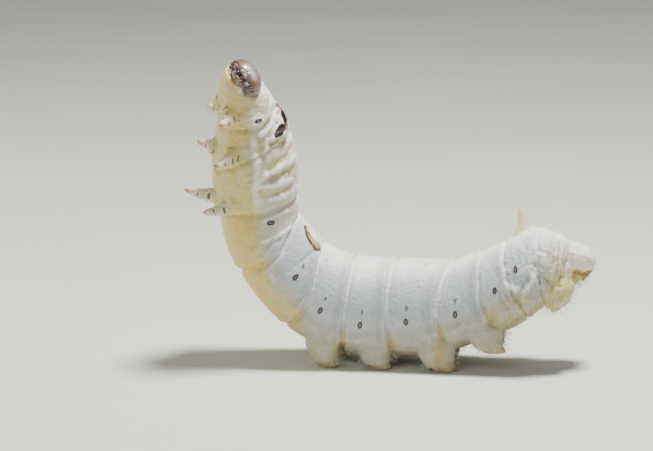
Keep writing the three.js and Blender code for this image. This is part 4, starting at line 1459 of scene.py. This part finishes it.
# %% Crochets
HOOKS_PER_FOOT = 26
HOOK_LENGTHS = (0.26, 0.34)
hook_finish = mottled("hook_horn", 3000.0, paint(0.30, 0.12, 0.04), paint(0.55, 0.26, 0.10), Roughness=0.3)
roots, ways, lengths = [], [], []
for foot_along, foot, sole in feet:
    middle = frame_at(foot_along)[0]
    sole = Vector(sole).normalized()
    inner = middle - Vector(foot)
    inner = (inner - sole * inner.dot(sole)).normalized()
    across = sole.cross(inner)
    for i in range(HOOKS_PER_FOOT):
        around = math.radians(-75 + 150 * i / (HOOKS_PER_FOOT - 1))
        out = inner * math.cos(around) + across * math.sin(around)
        roots.append(Vector(foot) - sole * 0.34 + out * (FOOT_RADIUS * 0.93))
        ways.append((out * 0.75 + sole * 0.45).normalized())
        lengths.append(HOOK_LENGTHS[i % 2])
hooks = spikes("crochets", roots, ways, lengths, 0.16, -0.35, hook_finish, 6)
dress(hooks, hook_finish, "mandible")
print("hooks:", len(roots))

# %% Where the hairs stand
HAIR_COUNT = 3600
leg_roots = np.array([root + way * 0.45 for root, way in leg_lines])
to_leg = np.min(np.linalg.norm(points[:, None, :] - leg_roots[None, :, :], axis=2), axis=1)
likely = (0.02 + 1.2 * hump(to_foot, 1.9, 0.9) + 0.8 * hump(to_leg, 1.0, 0.8)
          + 0.35 * hump(turn, 150, 30) * np.clip(3.2 - along, 0, 1)
          + 0.30 * hump(turn, 140, 22) * np.clip(along - 4, 0, 1) + 0.25 * np.clip(along - 11.4, 0, 1))
likely = np.where((points[:, 2] < 0.5) | (along < 0.05), 0, likely)
picks = np.random.default_rng(5).choice(len(points), HAIR_COUNT, replace=False, p=likely / likely.sum())

# %% Hairs of the skin, the legs and the head
chance = random.Random(11)
LEG_HAIRS = 16
HEAD_HAIRS = 46
LOWEST_REACH = 0.05


def scatter(spread):
    """A small random push."""
    return Vector([chance.gauss(0, spread) for _ in range(3)])


roots, ways, lengths = [], [], []
for pick in picks:
    out = Vector(skin_normals[pick])
    roots.append(Vector(points[pick]) - out * 0.03)
    ways.append((out + scatter(0.28) + Vector((0, 0, -0.1))).normalized())
    lengths.append(chance.uniform(0.35, 1.0) * (1.0 if to_foot[pick] < 3 else 0.6))
# Hairs that would reach below the floor point more upward.
for i, (root, way) in enumerate(zip(roots, ways)):
    if root.z + way.z * lengths[i] < LOWEST_REACH:
        ways[i] = Vector((way.x, way.y, (LOWEST_REACH - root.z) / lengths[i])).normalized()
hair_maps = (np.stack([angle[picks] / (2 * np.pi) + 0.5, along[picks] / LAST_FOLD], 1)).tolist()
for root, way in leg_lines:
    for _ in range(LEG_HAIRS):
        share = chance.uniform(0.4, 0.75)
        round_way = scatter(1)
        out = (round_way - way * round_way.dot(way) / way.length_squared).normalized()
        roots.append(root + way * share + out * (LEG_RADIUS * (1.05 - 0.75 * share)))
        ways.append((out + way.normalized() * 0.5).normalized())
        lengths.append(chance.uniform(0.25, 0.5))
        hair_maps.append((chance.random(), 0.02))
for _ in range(HEAD_HAIRS):
    spot, out = on_shell(chance.uniform(-2, 2), chance.uniform(-1.4, 1.8), chance.uniform(0.2, 1.8))
    roots.append(spot - out * 0.02)
    ways.append((out + scatter(0.2)).normalized())
    lengths.append(chance.uniform(0.4, 1.0))
    hair_maps.append((chance.random(), 0.0))
hair_finish = mottled("hair_pale", 300.0, paint(0.62, 0.55, 0.42), paint(0.80, 0.76, 0.66), Roughness=0.4)
hairs = spikes("hairs", roots, ways, lengths, 0.019, 0.22, hair_finish, 3)

# %% The hairs' map
PATCH = 0.003
hair_uv = hairs.data.uv_layers.new(name="OFBake")
points_each = len(hairs.data.vertices) // len(roots)
corner_points = np.empty(len(hairs.data.loops), np.int32)
hairs.data.loops.foreach_get("vertex_index", corner_points)
inside = corner_points % points_each / points_each * PATCH
patches = np.clip(np.array(hair_maps)[corner_points // points_each], 0, 0.996)
hair_uv.data.foreach_set("uv", (patches + np.stack([inside, inside], 1)).ravel())
dress(hairs, hair_finish, "skin")
print("hairs:", len(roots), "triangles:", sum(len(face.vertices) - 2 for face in hairs.data.polygons))
